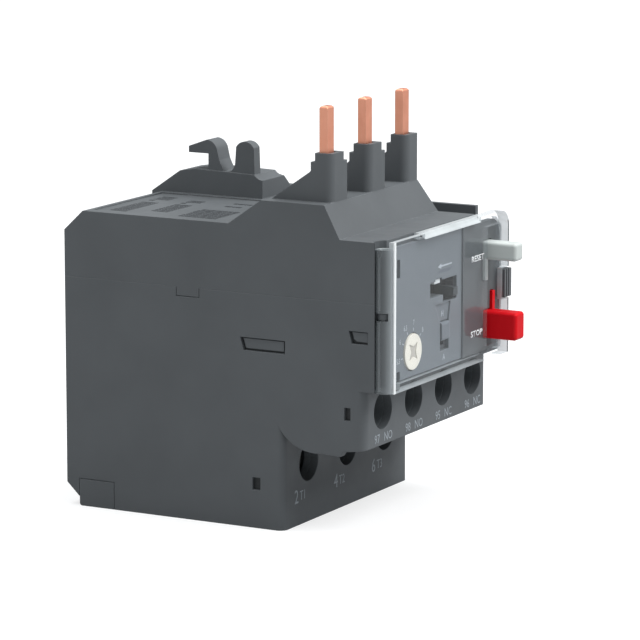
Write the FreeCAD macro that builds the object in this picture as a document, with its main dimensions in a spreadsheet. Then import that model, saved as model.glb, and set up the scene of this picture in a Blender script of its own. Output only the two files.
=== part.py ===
import FreeCAD, Part
import math
import os
import re

import Sketcher

# Three-pole thermal overload relay. Row frame: +X to the right, +Y to the mounting back, +Z up.
# The origin lies under the middle of the relay's outline, on its flat base. Millimetres.

SHEET = "Sizes"

SIZES = {
    # body
    "relay_width": 45.0,
    "back_face": 33.6,
    "body_depth": 60.0,
    "wall": 1.6,
    "seam_height": 39.74,
    "top_height": 51.2,
    "ridge_height": 55.5,
    "front_top_height": 50.0,
    "ledge_height": 25.1,
    "running_gap": 0.15,
    "snap_gap": 0.1,
    "edge_round": 1.4,
    "soft_edge": 0.5,
    # lower block and auxiliary block
    "lower_block_depth": 42.56,
    "lower_block_height": 16.5,
    "aux_setback": 2.2,
    "aux_base_height": 15.2,
    "skirt_height": 13.8,
    "skirt_front_inset": 4.0,
    "skirt_front_rise": 0.5,
    "skirt_flat_inset": 4.6,
    "skirt_back_inset": 8.2,
    "skirt_back_rise": 0.2,
    "skirt_arc": 8.0,
    "rear_chamfer_depth": 2.4,
    "rear_chamfer_low": 1.66,
    "rear_chamfer_high": 3.94,
    "top_chamfer_depth": 3.7,
    "top_chamfer_drop": 3.45,
    # base cover
    "base_tab_setback": 2.5,
    "base_tab_length": 6.9,
    "base_tab_height": 4.7,
    "base_plate_thick": 1.5,
    # power poles
    "pole_margin": 3.6,
    "divider_thick": 2.2,
    "chamber_front": 6.6,
    "chamber_step": 22.6,
    "bimetal_middle": 10.6,
    "bimetal_width": 6.0,
    "bimetal_thick": 0.8,
    "bimetal_length": 20.4,
    "ribbon_gap": 0.45,
    "ribbon_thick": 0.4,
    "ribbon_width": 0.9,
    "ribbon_pitch": 1.9,
    "ribbon_turns": 9.0,
    "ribbon_start": 2.2,
    "riser_width": 1.6,
    "strip_thick": 1.2,
    "strip_width": 5.0,
    "strip_height": 14.6,
    "strip_foot": 6.0,
    "clamp_width": 8.0,
    "clamp_depth": 8.6,
    "clamp_height": 8.0,
    "clamp_wall": 1.0,
    "power_screw_height": 10.3,
    "power_well_radius": 3.3,
    "power_well_depth": 2.8,
    "power_slot_width": 0.9,
    "power_slot_depth": 0.9,
    "power_head_radius": 2.7,
    "power_head_length": 1.9,
    "power_shaft_radius": 1.7,
    "power_shaft_reach": 1.0,
    "clamp_clearance": 0.6,
    "terminal_height": 16.1,
    "wire_entry_width": 7.0,
    "wire_entry_margin": 0.8,
    # auxiliary poles
    "aux_margin": 0.8,
    "aux_centre": 0.5,
    "aux_screw_height": 21.0,
    "aux_well_radius": 3.2,
    "aux_well_depth": 4.0,
    "aux_divider_thick": 3.2,
    "aux_head_radius": 2.3,
    "aux_head_length": 1.8,
    "aux_shaft_radius": 1.3,
    "aux_shaft_reach": 1.1,
    "aux_clamp_width": 6.8,
    "aux_clamp_depth": 8.0,
    "aux_clamp_height": 6.2,
    "aux_clamp_wall": 0.8,
    "blade_width": 4.0,
    "blade_thick": 0.8,
    "blade_height": 33.2,
    # line pins and shrouds
    "pin_margin": 4.95,
    "pin_inset": 4.4,
    "pin_width": 2.2,
    "pin_thick": 1.5,
    "pin_tip_height": 71.3,
    "pin_setback": 1.9,
    "pin_fit": 0.05,
    "line_bar_rise": 3.66,
    "line_bar_thick": 1.2,
    "ridge_setback": 9.8,
    "ridge_length": 11.8,
    "ramp_length": 6.25,
    "front_ramp_length": 2.9,
    "shroud_height": 63.6,
    "shroud_step_height": 62.1,
    "shroud_shoulder_height": 60.6,
    "shroud_width": 4.3,
    "shroud_step": 1.15,
    "end_shroud_width": 3.95,
    "mouth_width": 3.0,
    "mouth_depth": 2.2,
    "shroud_depth": 3.05,
    "shroud_left_wall": 0.8,
    "gusset_length": 11.2,
    "shroud_bore_depth": 6.0,
    "shroud_round": 1.4,
    "gusset_step": 0.8,
    "gusset_lean": 0.35,
    "gusset_drop": 0.3,
    "pocket_drop": 8.1,
    "block_inset": 11.7,
    "block_flare": 3.1,
    "side_wall": 1.0,
    "side_wall_front_gap": 4.0,
    # hook block
    "plinth_left": 3.5,
    "plinth_width": 7.4,
    "plinth_flare": 3.2,
    "plinth_front": 9.7,
    "plinth_back": 31.9,
    "plinth_slope": 5.7,
    "plinth_height": 55.6,
    "plinth_back_drop": 0.5,
    "plinth_back_length": 3.1,
    "plinth_front_drop": 0.3,
    "plinth_nose_length": 1.6,
    "plinth_nose_drop": 1.2,
    "plinth_nose_round": 2.4,
    "flare_top_drop": 0.9,
    "flare_middle_drop": 3.0,
    "flare_middle_share": 0.75,
    "hook_left": 3.7,
    "hook_width": 3.85,
    "hook_front": 18.4,
    "hook_stem": 2.15,
    "hook_reach": 3.93,
    "hook_top": 60.8,
    "hook_lip": 1.1,
    "hook_tip_drop": 1.3,
    "hook_heel": 1.0,
    "hook_heel_rise": 1.8,
    "hook_lean": 0.4,
    "hook_shoulder_drop": 1.7,
    "hook_crown": 2.5,
    "hook_round": 2.1,
    "ear_thick": 2.1,
    "ear_front": 11.3,
    "ear_width": 3.9,
    "ear_top": 61.6,
    "ear_round": 2.0,
    "ear_shoulder_drop": 1.7,
    "ear_taper": 0.2,
    "saddle_rise": 1.5,
    "saddle_round": 2.0,
    "label_recess": 0.25,
    "label_margin": 2.0,
    "label_setback": 1.2,
    "label_length": 26.5,
    # snap tab in the seam and side recesses
    "snap_tab_back": 11.5,
    "snap_tab_width": 4.3,
    "snap_tab_drop": 1.47,
    "recess_depth": 0.6,
    "ejector_front": 17.14,
    "ejector_length": 7.86,
    "ejector_lean": 0.68,
    "ejector_base": 30.1,
    "ejector_rise": 2.2,
    "catch_front": 1.67,
    "catch_length": 2.98,
    "catch_lean": 0.55,
    "catch_base": 33.0,
    "catch_rise": 2.1,
    "aux_notch_front": 2.65,
    "aux_notch_length": 1.15,
    "aux_notch_base": 20.05,
    "aux_notch_rise": 2.15,
    "lower_notch_front": 4.43,
    "lower_notch_length": 1.53,
    "lower_notch_base": 6.5,
    "lower_notch_rise": 2.14,
    "no_lean": 0.0,
    # fascia and cover
    "fascia_thick": 0.7,
    "panel_thick": 1.0,
    "panel_inset": 15.65,
    "fascia_left_gap": 3.6,
    "rim_slot_inset": 5.7,
    "rim_slot_width": 1.1,
    "rim_slot_height": 3.1,
    "rim_slot_high": 43.3,
    "channel_left": -2.9,
    "channel_right": 2.8,
    "channel_top": 36.7,
    "channel_depth": 0.3,
    "cover_depth": 2.2,
    "cover_wall": 1.0,
    "cover_side_wall": 1.0,
    "cover_height": 25.05,
    "cover_bottom": 24.85,
    "cover_right_gap": 0.4,
    "cover_corner": 3.0,
    "cover_back_gap": 0.15,
    "plate_inset": 1.9,
    "top_wall_inset": 12.8,
    "bottom_wall_inset": 5.9,
    "grip_drop": 0.9,
    "grip_length": 20.9,
    "window_inset": 8.8,
    "window_width": 5.25,
    "window_bottom": 27.2,
    "window_top": 47.8,
    "hinge_inset": 1.6,
    "hinge_setback": 0.45,
    "hinge_pin_radius": 0.5,
    "knuckle_radius": 1.45,
    "knuckle_fit": 0.06,
    "barrel_foot": 0.15,
    "barrel_top_drop": 1.1,
    "barrel_floor": 1.0,
    "barrel_mouth_radius": 1.0,
    "barrel_mouth_depth": 1.2,
    "hinge_lug_height": 1.0,
    "hinge_lug_middle": 37.75,
    "hinge_lug_radius": 1.05,
    "hinge_channel_radius": 1.8,
    "hinge_post_width": 1.6,
    "hinge_post_depth": 1.0,
    "latch_inset": 2.6,
    "latch_height": 4.9,
    "latch_bottom": 34.7,
    "latch_reach": 2.5,
    "latch_groove_first": 0.5,
    "latch_groove_pitch": 0.8,
    "latch_groove_width": 0.35,
    "latch_groove_depth": 0.5,
    # operators
    "dial_inset": 11.25,
    "dial_height": 30.3,
    "dial_radius": 3.05,
    "dial_thick": 0.7,
    "dial_shaft_radius": 1.3,
    "dial_slot_width": 0.9,
    "dial_slot_depth": 0.45,
    "dial_slot_share": 1.45,
    "cam_radius": 2.4,
    "cam_offset": 0.6,
    "cam_thick": 2.0,
    "stop_inset": 7.75,
    "stop_width": 3.5,
    "stop_bottom": 28.25,
    "stop_height": 4.8,
    "stop_reach": 7.2,
    "stop_fin_height": 3.15,
    "reset_inset": 8.05,
    "reset_width": 3.0,
    "reset_bottom": 42.0,
    "reset_height": 3.15,
    "reset_reach": 7.2,
    "reset_fin_height": 3.6,
    "fin_width": 1.0,
    "fin_reach": 1.45,
    "button_round": 0.6,
    "fin_root": 0.8,
    "flange_thick": 0.8,
    "flange_margin": 0.8,
    "button_travel": 2.5,
    "rod_radius": 0.9,
    "rib_thick": 1.0,
    "rib_setback": 6.8,
    "rib_margin": 2.6,
    "spring_radius": 1.45,
    "spring_wire": 0.4,
    "spring_turns": 3.0,
    "lever_right": 4.7,
    "lever_thick": 1.6,
    "lever_bottom": 36.6,
    "lever_height": 2.5,
    "lever_reach": 1.05,
    "lever_taper": 0.9,
    "lever_top_taper": 0.2,
    "lever_travel": 3.0,
    "lever_plate_thick": 1.1,
    "lever_plate_lap": 1.3,
    "lever_plate_foot": 0.6,
    "lever_plate_head": 0.8,
    "lever_slot_left": -4.8,
    "lever_slot_sill": 1.55,
    "lever_slot_step": 0.4,
    "lever_slot_head": 1.65,
    "selector_left": -0.95,
    "selector_width": 2.9,
    "selector_bottom": 30.3,
    "selector_height": 3.2,
    "selector_reach": 1.0,
    "selector_travel": 1.5,
    "selector_stem": 1.8,
    "flag_left": -2.75,
    "flag_width": 2.07,
    "flag_top": 41.0,
    "flag_thick": 0.75,
    # trip mechanism
    "trip_travel": 1.2,
    "slider_thick": 1.4,
    "slider_height": 2.0,
    "slider_gap": 0.8,
    "slider_front": 8.0,
    "slider_pitch": 3.8,
    "slider_reach": 17.0,
    "finger_gap": 0.4,
    "finger_width": 1.0,
    "finger_length": 2.8,
    "slot_gap": 0.3,
    "link_thick": 1.0,
    "nose_gap": 0.2,
    "nose_width": 1.1,
    "nose_front": 1.8,
    "nose_depth": 1.0,
    "nose_drop": 7.0,
    "link_width": 2.3,
    "mech_back": 4.2,
    "pivot_inset": 5.3,
    "pivot_y": -6.4,
    "pivot_radius": 0.75,
    "hub_radius": 1.9,
    "hub_base": 29.0,
    "hub_height": 4.5,
    "pin_spare": 4.5,
    "arm_base": 1.4,
    "arm_top_gap": 0.6,
    "arm_end_gap": 0.2,
    "stub_base": 0.6,
    "stub_top_gap": 0.2,
    "arm_length": 8.8,
    "arm_thick": 1.4,
    "strip_comp_thick": 0.6,
    "strip_comp_length": 9.4,
    "carrier_gap": 1.5,
    "carrier_height": 2.4,
    "carrier_depth": 2.0,
    "carrier_reach": 13.5,
    "post_width": 2.0,
    "post_lap": 0.5,
    "post_wall": 1.0,
    "bridge_thick": 0.7,
    "bridge_height": 2.0,
    "bridge_base": 30.8,
    "bridge_overhang": 0.9,
    "contact_gap": 1.3,
    "closed_gap": 0.05,
    "lug_width": 1.6,
    "lug_thick": 1.2,
    "lug_base": 1.0,
    "flag_setback": 0.3,
}

DERIVED = {
    "half_width": "relay_width / 2",
    "pole_pitch": "(relay_width - pole_margin) / 3",
    "aux_pitch": "(relay_width - aux_margin) / 4",
    "pin_pitch": "(relay_width - pin_margin) / 3",
    "pin_left": "pin_inset - half_width",
    "cover_right": "half_width - cover_right_gap",
    "window_left": "half_width - window_inset",
    "window_right": "window_left + window_width",
    "dial_x": "dial_inset - half_width",
    "stop_left": "half_width - stop_inset",
    "reset_left": "half_width - reset_inset",
    "pivot_x": "half_width - pivot_inset",
    "block_right": "half_width - block_inset",
    "pocket_floor": "ridge_height - pocket_drop",
    "line_bar_height": "seam_height + line_bar_rise",
    "slider_base": "bimetal_tip + slider_gap",
    "carrier_base": "hub_base + hub_height + carrier_gap",
    "front_face": "back_face - body_depth",
    "lower_front": "back_face - lower_block_depth",
    "aux_front": "front_face + aux_setback",
    "inner_side": "half_width - wall",
    "inner_front": "front_face + wall",
    "inner_back": "back_face - wall",
    "mech_floor": "ledge_height + wall",
    "base_tab_back": "back_face - base_tab_setback",
    "base_tab_front": "base_tab_back - base_tab_length",
    "skirt_front": "aux_front + skirt_front_inset",
    "skirt_flat": "aux_front + skirt_flat_inset",
    "skirt_back": "aux_front + skirt_back_inset",
    "control_front": "aux_front + wall",
    "control_ceiling": "aux_screw_height + aux_clamp_height / 2 + slot_gap",
    "comb_base": "aux_base_height + snap_gap",
    "terminal_front": "lower_front + wall",
    "terminal_ceiling": "terminal_height + wall",
    "rear_floor": "base_tab_height + wall",
    "ridge_front": "front_face + ridge_setback",
    "ridge_back": "ridge_front + ridge_length",
    "ramp_foot": "ridge_back + ramp_length",
    "front_ramp_foot": "ridge_front - front_ramp_length",
    "pin_y": "ridge_front + pin_setback",
    "shroud_back": "ridge_front + shroud_depth",
    "shroud_left": "pin_left - pin_width / 2 - shroud_left_wall",
    "upper_ceiling": "pocket_floor - wall",
    "rear_ceiling": "top_height - wall",
    "block_ceiling": "ridge_height - 2 * wall",
    "clamp_front": "lower_front + power_well_depth + power_head_length + running_gap",
    "clamp_back": "clamp_front + clamp_depth",
    "strip_back": "clamp_back - clamp_wall",
    "strip_front": "strip_back - strip_thick",
    "clamp_bottom": "power_screw_height - clamp_height / 2",
    "terminal_back": "clamp_back + clamp_clearance",
    "bimetal_base": "strip_height + strip_thick",
    "bimetal_tip": "bimetal_base + bimetal_length",
    "power_tip": "clamp_front + clamp_wall + power_shaft_reach",
    "aux_clamp_front": "aux_front + aux_well_depth + aux_head_length + running_gap",
    "aux_clamp_back": "aux_clamp_front + aux_clamp_depth",
    "aux_clamp_bottom": "aux_screw_height - aux_clamp_height / 2",
    "blade_back": "aux_clamp_back - aux_clamp_wall",
    "blade_front": "blade_back - blade_thick",
    "aux_tip": "aux_clamp_front + aux_clamp_wall + aux_shaft_reach",
    "fascia_front": "front_face - fascia_thick",
    "panel_front": "front_face - panel_thick",
    "panel_left": "half_width - panel_inset",
    "cover_front": "front_face - cover_depth",
    "cover_inner": "cover_front + cover_wall",
    "cover_back": "front_face - cover_back_gap",
    "cover_top": "cover_bottom + cover_height",
    "fascia_left": "fascia_left_gap - half_width",
    "fascia_right": "cover_right - cover_side_wall - 2 * running_gap",
    "fascia_bottom": "cover_bottom + cover_side_wall + 2 * running_gap",
    "fascia_top": "cover_top - cover_side_wall - 2 * running_gap",
    "rim_slot_left": "rim_slot_inset - half_width",
    "plate_left": "plate_inset - half_width",
    "top_wall_left": "top_wall_inset - half_width",
    "bottom_wall_left": "bottom_wall_inset - half_width",
    "barrel_bottom": "cover_bottom + barrel_foot",
    "barrel_top": "cover_top - barrel_top_drop",
    "latch_left": "half_width - latch_inset",
    "latch_top": "latch_bottom + latch_height",
    "hinge_x": "hinge_inset - half_width",
    "hinge_y": "front_face - hinge_setback",
    "knuckle_bore": "hinge_pin_radius + knuckle_fit",
    "lug_bottom": "hinge_lug_middle - hinge_lug_height / 2",
    "lug_top": "hinge_lug_middle + hinge_lug_height / 2",
    "flange_front": "inner_front + snap_gap",
    "flange_back": "flange_front + flange_thick",
    "rib_front": "front_face + rib_setback",
    "rib_back": "rib_front + rib_thick",
    "rod_end": "blade_back - button_travel - flange_margin",
    "stop_right": "stop_left + stop_width",
    "stop_top": "stop_bottom + stop_height",
    "stop_middle": "stop_left + stop_width / 2",
    "stop_axis": "stop_bottom + stop_height / 2",
    "reset_middle": "reset_left + reset_width / 2",
    "reset_axis": "reset_bottom + reset_height / 2",
    "lever_left": "lever_right - lever_thick",
    "lever_top": "lever_bottom + lever_height",
    "lever_slot_middle": "lever_left - lever_travel - running_gap",
    "lever_slot_right": "lever_right + 2 * running_gap",
    "lever_slot_bottom": "lever_bottom - running_gap",
    "lever_slot_high": "lever_bottom + lever_slot_sill",
    "lever_slot_top": "lever_top + lever_slot_head",
    "selector_top": "selector_bottom + selector_height",
    "selector_low": "selector_bottom - selector_travel",
    "selector_middle": "selector_left + selector_width / 2",
    "selector_axis": "selector_bottom + selector_height / 2",
    "slider_back_front": "slider_front + slider_pitch",
    "slider_top": "slider_base + slider_height",
    "carrier_front": "blade_back + closed_gap + bridge_thick",
    "carrier_back": "carrier_front + carrier_depth",
    "nc_post": "aux_centre + aux_pitch",
    "no_post": "aux_centre - aux_pitch",
    "no_bridge_back": "blade_front - contact_gap",
    "no_bridge_front": "no_bridge_back - bridge_thick",
    "arm_tip": "pivot_x - arm_length",
    "arm_front": "pivot_y - arm_thick / 2",
    "arm_back": "pivot_y + arm_thick / 2",
    "lug_face": "arm_back + 1.5 * running_gap",
    "strip_comp_left": "pivot_x + arm_thick / 2",
    "nose_left": "strip_comp_left - nose_gap - nose_width",
    "flag_base": "carrier_base + carrier_height",
}

PLANES = {"X": "YZ_Plane", "Y": "XZ_Plane", "Z": "XY_Plane"}
AXES = {
    "X": FreeCAD.Vector(1, 0, 0),
    "Y": FreeCAD.Vector(0, 1, 0),
    "Z": FreeCAD.Vector(0, 0, 1),
}
TOLERANCE = 0.01

document = FreeCAD.newDocument("ThermalOverloadRelay")
nodes = []


def fill_sheet():
    """Put every driving size in the spreadsheet, one alias to a row."""
    sheet = document.addObject("Spreadsheet::Sheet", SHEET)
    for row, (alias, size) in enumerate(SIZES.items(), start=1):
        sheet.set("A%d" % row, alias)
        sheet.set("B%d" % row, repr(size))
        sheet.setAlias("B%d" % row, alias)
    document.recompute()
    return sheet


def spell(expression):
    """Return a size expression with derived names worked out and sheet aliases in full."""

    def swap(match):
        word = match.group(0)
        if word in DERIVED:
            return "(" + spell(DERIVED[word]) + ")"
        if word in SIZES:
            return SHEET + "." + word
        return word

    return re.sub(r"[a-z][a-z0-9_]*", swap, str(expression))


def number(expression):
    """Return the value of a size expression now."""
    return float(sheet.evalExpression(spell(expression)))


def bind(item, prop, expression):
    """Bind one property of a document object to a size expression."""
    item.setExpression(prop, spell(expression))


# ---- PartDesign helpers -------------------------------------------------------------------------


def new_body(label):
    """Start a PartDesign body that becomes one node."""
    body = document.addObject("PartDesign::Body", label)
    body.Label = label
    nodes.append(body)
    return body


def new_sketch(body, axis, low, high):
    """Attach a sketch across the given axis where a feature that spans low to high starts."""
    sketch = body.newObject("Sketcher::SketchObject", body.Label + "_sketch")
    plane = [item for item in body.Origin.OriginFeatures if item.Role == PLANES[axis]][0]
    sketch.AttachmentSupport = (plane, [""])
    sketch.MapMode = "FlatFace"
    start = "-(%s)" % high if axis == "Y" else low
    bind(sketch, "AttachmentOffset.Base.z", start)
    return sketch


def fix_point(sketch, edge, place, point):
    """Hold an end or centre of a sketch edge at a pair of size expressions."""
    for kind, expression in zip(("DistanceX", "DistanceY"), point):
        index = sketch.addConstraint(Sketcher.Constraint(kind, edge, place, number(expression)))
        sketch.setExpression("Constraints[%d]" % index, spell(expression))


def draw_outline(sketch, points):
    """Draw a closed outline. A point may carry a radius: the edge to it is then an arc."""
    corners = [FreeCAD.Vector(number(point[0]), number(point[1]), 0) for point in points]
    count = len(points)
    radii = [points[(index + 1) % count][2:] for index in range(count)]
    for index in range(count):
        start = corners[index]
        end = corners[(index + 1) % count]
        if radii[index]:
            sketch.addGeometry(arc_between(start, end, number(radii[index][0])))
        else:
            sketch.addGeometry(Part.LineSegment(start, end))
    ends = [(2, 1) if radius and number(radius[0]) < 0 else (1, 2) for radius in radii]
    for index in range(count):
        following = (index + 1) % count
        fix_point(sketch, index, ends[index][0], points[index])
        sketch.addConstraint(
            Sketcher.Constraint("Coincident", index, ends[index][1], following, ends[following][0]))
    for index in range(count):
        if radii[index]:
            fix_radius(sketch, index, "abs(%s)" % radii[index][0])


def arc_between(start, end, radius):
    """Return the short arc between two points: counter-clockwise, or clockwise if radius is negative."""
    chord = end - start
    offset = math.sqrt(radius * radius - chord.Length * chord.Length / 4)
    left = FreeCAD.Vector(-chord.y, chord.x, 0).normalize()
    centre = (start + end) * 0.5 + left * math.copysign(offset, radius)
    first, last = (start, end) if radius > 0 else (end, start)
    angles = [math.atan2(point.y - centre.y, point.x - centre.x) for point in (first, last)]
    return Part.ArcOfCircle(Part.Circle(centre, AXES["Z"], abs(radius)), *angles)


def fix_radius(sketch, edge, expression):
    """Hold a sketch arc or circle at a size expression."""
    index = sketch.addConstraint(Sketcher.Constraint("Radius", edge, number(expression)))
    sketch.setExpression("Constraints[%d]" % index, spell(expression))


def solid_between(kind, body, axis, low, high, sketch):
    """Pad or pocket a sketch from low to high along its axis."""
    feature = body.newObject("PartDesign::" + kind, body.Label + "_" + kind.lower())
    feature.Profile = sketch
    bind(feature, "Length", "(%s) - (%s)" % (high, low))
    feature.Reversed = kind == "Pocket"
    return feature


def outline_solid(kind, body, axis, low, high, points):
    """Add or cut a prism with a closed outline."""
    sketch = new_sketch(body, axis, low, high)
    draw_outline(sketch, points)
    return solid_between(kind, body, axis, low, high, sketch)


def box_points(first, second):
    """Return the corners of a rectangle between two pairs of expressions."""
    return [
        (first[0], second[0]),
        (first[1], second[0]),
        (first[1], second[1]),
        (first[0], second[1]),
    ]


def box_solid(kind, body, across, deep, tall):
    """Add or cut a box given by its (low, high) spans along X, Y and Z."""
    return outline_solid(kind, body, "Z", tall[0], tall[1], box_points(across, deep))


def round_solid(kind, body, axis, low, high, centres, radius):
    """Add or cut cylinders of one radius about several centres."""
    sketch = new_sketch(body, axis, low, high)
    normal = FreeCAD.Vector(0, 0, 1)
    for index, centre in enumerate(centres):
        middle = FreeCAD.Vector(number(centre[0]), number(centre[1]), 0)
        sketch.addGeometry(Part.Circle(middle, normal, number(radius)))
        fix_point(sketch, index, 3, centre)
        fix_radius(sketch, index, radius)
    return solid_between(kind, body, axis, low, high, sketch)


def grid_solid(kind, body, axis, low, high, rectangles):
    """Add or cut several rectangles from one sketch."""
    sketch = new_sketch(body, axis, low, high)
    for order, (first, second) in enumerate(rectangles):
        points = box_points(first, second)
        corners = [FreeCAD.Vector(number(p[0]), number(p[1]), 0) for p in points]
        base = 4 * order
        for side in range(4):
            sketch.addGeometry(Part.LineSegment(corners[side], corners[(side + 1) % 4]))
        for side in range(4):
            following = base + (side + 1) % 4
            sketch.addConstraint(Sketcher.Constraint("Coincident", base + side, 2, following, 1))
            fix_point(sketch, base + side, 1, points[side])
    return solid_between(kind, body, axis, low, high, sketch)


def edges_along(shape, axis, **places):
    """Name the straight edges that run along an axis and lie at the given x, y or z."""
    found = []
    for index, edge in enumerate(shape.Edges, start=1):
        if edge.Curve.TypeId != "Part::GeomLine":
            continue
        span = edge.Vertexes[-1].Point - edge.Vertexes[0].Point
        if abs(abs(span.normalize().dot(AXES[axis])) - 1) > TOLERANCE:
            continue
        middle = edge.CenterOfMass
        if all(abs(getattr(middle, key) - number(place)) < TOLERANCE for key, place in places.items()):
            found.append("Edge%d" % index)
    return found


def blend(kind, body, groups, size):
    """Round or chamfer groups of edges of a body's last feature."""
    document.recompute()
    base = body.Tip
    names = [name for axis, places in groups for name in edges_along(base.Shape, axis, **places)]
    if not names:
        raise ValueError("no edge to round on " + body.Label)
    feature = body.newObject("PartDesign::" + kind, body.Label + "_" + kind.lower())
    feature.Base = (base, sorted(set(names)))
    bind(feature, "Radius" if kind == "Fillet" else "Size", size)
    return feature


# ---- Part helpers for the small metal and inner pieces ---------------------------------------------


def block(name, across, deep, tall):
    """Make a Part::Box from its (low, high) spans along X, Y and Z."""
    item = document.addObject("Part::Box", name)
    for side, place, (low, high) in zip(("Length", "Width", "Height"), "xyz", (across, deep, tall)):
        bind(item, side, "(%s) - (%s)" % (high, low))
        bind(item, "Placement.Base." + place, low)
    return item


def rod(name, axis, centre, radius, low, high):
    """Make a Part::Cylinder along an axis between low and high."""
    item = document.addObject("Part::Cylinder", name)
    bind(item, "Radius", radius)
    bind(item, "Height", "(%s) - (%s)" % (high, low))
    turns = {"X": (AXES["Y"], 90), "Y": (AXES["X"], -90), "Z": (AXES["Z"], 0)}
    item.Placement.Rotation = FreeCAD.Rotation(*turns[axis])
    places = {"X": (low, centre[0], centre[1]), "Y": (centre[0], low, centre[1]), "Z": (centre[0], centre[1], low)}
    for key, expression in zip("xyz", places[axis]):
        bind(item, "Placement.Base." + key, expression)
    return item


def joined(label, pieces):
    """Fuse pieces into one solid that becomes a node."""
    item = document.addObject("Part::MultiFuse", label)
    item.Shapes = pieces
    item.Refine = True
    item.Label = label
    nodes.append(item)
    return item


def fused(name, pieces):
    """Fuse pieces into one solid for a further cut."""
    item = document.addObject("Part::MultiFuse", name)
    item.Shapes = pieces
    item.Refine = True
    return item


def carved(label, base, tools):
    """Cut tools from a base; the result becomes a node."""
    tool = tools[0] if len(tools) == 1 else fused(label + "_tool", tools)
    item = document.addObject("Part::Cut", label)
    item.Base = base
    item.Tool = tool
    item.Label = label
    nodes.append(item)
    return item


def grouped(label, pieces):
    """Gather alike but separate pieces in one node."""
    item = document.addObject("Part::Compound", label)
    item.Links = pieces
    item.Label = label
    nodes.append(item)
    return item


def span(middle, width):
    """Return the (low, high) expressions of a width about a middle."""
    return ("(%s) - (%s) / 2" % (middle, width), "(%s) + (%s) / 2" % (middle, width))


def pole(index):
    """Return the X expression of power pole 0, 1 or 2."""
    return "%d * pole_pitch" % (index - 1)


def aux_pole(index):
    """Return the X expression of auxiliary terminal 0 to 3."""
    return "aux_centre + %.1f * aux_pitch" % (index - 1.5)


def pin(index):
    """Return the X expression of line pin 0, 1 or 2."""
    return "pin_left + %d * pin_pitch" % index


POLES = range(3)
AUX_POLES = range(4)
AUX_NUMBERS = (97, 98, 95, 96)
LATCH_GROOVES = range(2)
SPRING_SIDES = 12
WIRE_SIDES = 6


# ---- mouldings -------------------------------------------------------------------------------------


def lower_housing():
    """Mould the shell below the seam: base block, terminal bays and mechanism well in one skin."""
    body = new_body("lower_housing")
    side = [
        ("back_face", "seam_height"),
        ("back_face", "rear_chamfer_high"),
        ("back_face - rear_chamfer_depth", "rear_chamfer_low"),
        ("back_face - rear_chamfer_depth", "base_tab_height + snap_gap"),
        ("base_tab_front - snap_gap", "base_tab_height + snap_gap"),
        ("base_tab_front - snap_gap", "0"),
        ("lower_front", "0"),
        ("lower_front", "lower_block_height"),
        ("skirt_back", "skirt_height + skirt_back_rise", "-skirt_arc"),
        ("skirt_flat", "skirt_height"),
        ("skirt_front", "aux_base_height - skirt_front_rise"),
        ("aux_front", "aux_base_height"),
        ("aux_front", "ledge_height"),
        ("front_face", "ledge_height"),
        ("front_face", "seam_height"),
    ]
    outline_solid("Pad", body, "X", "-half_width", "half_width", side)
    corners = [("Z", {"x": x, "y": y}) for x in ("-half_width", "half_width") for y in ("aux_front", "lower_front")]
    blend("Fillet", body, corners, "edge_round")
    for low, high in (("-half_width", "wall - half_width"), ("half_width - wall", "half_width")):
        outline_solid("Pocket", body, "X", low, high, box_points(
            ("snap_tab_back - snap_tab_width - snap_gap", "snap_tab_back + snap_gap"),
            ("seam_height - snap_tab_drop - snap_gap", "seam_height")))
    across = ("-inner_side", "inner_side")
    # mechanism well, bimetal well and the open bays of both rows of terminals
    box_solid("Pocket", body, across, ("inner_front", "inner_back"), ("mech_floor", "seam_height"))
    box_solid("Pocket", body, across, ("terminal_front", "inner_back"), ("terminal_ceiling", "mech_floor"))
    box_solid("Pocket", body, across, ("chamber_front", "chamber_step"), ("0", "terminal_ceiling"))
    box_solid("Pocket", body, across, ("chamber_step", "base_tab_front"), ("0", "base_plate_thick + snap_gap"))
    box_solid("Pocket", body, across, ("chamber_step", "inner_back"), ("rear_floor", "terminal_ceiling"))
    box_solid("Pocket", body, across, ("terminal_front", "terminal_back"), ("0", "terminal_height"))
    box_solid("Pocket", body, across, ("control_front", "lower_front"), ("0", "control_ceiling"))
    # slots for the strips and the round mouths of the screw wells
    strips = [(span(pole(i), "strip_width + 2 * slot_gap"), ("strip_height - slot_gap", "terminal_height"))
              for i in POLES]
    grid_solid("Pocket", body, "Y", "terminal_back", "chamber_front", strips)
    blades = [(span(aux_pole(i), "blade_width + 2 * slot_gap"), ("blade_front - slot_gap", "blade_back + slot_gap"))
              for i in AUX_POLES]
    grid_solid("Pocket", body, "Z", "control_ceiling", "mech_floor", blades)
    round_solid("Pocket", body, "Y", "lower_front", "terminal_front", [(pole(i), "power_screw_height") for i in POLES],
                "power_well_radius")
    round_solid("Pocket", body, "Y", "aux_front", "control_front",
                [(aux_pole(i), "aux_screw_height") for i in AUX_POLES], "aux_well_radius")
    front_wall_openings(body)
    hinge_post(body, "mech_floor", "seam_height")
    hinge_channel(body, "ledge_height", "seam_height")
    hinge_lug(body)
    side_recesses(body)
    return body


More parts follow.
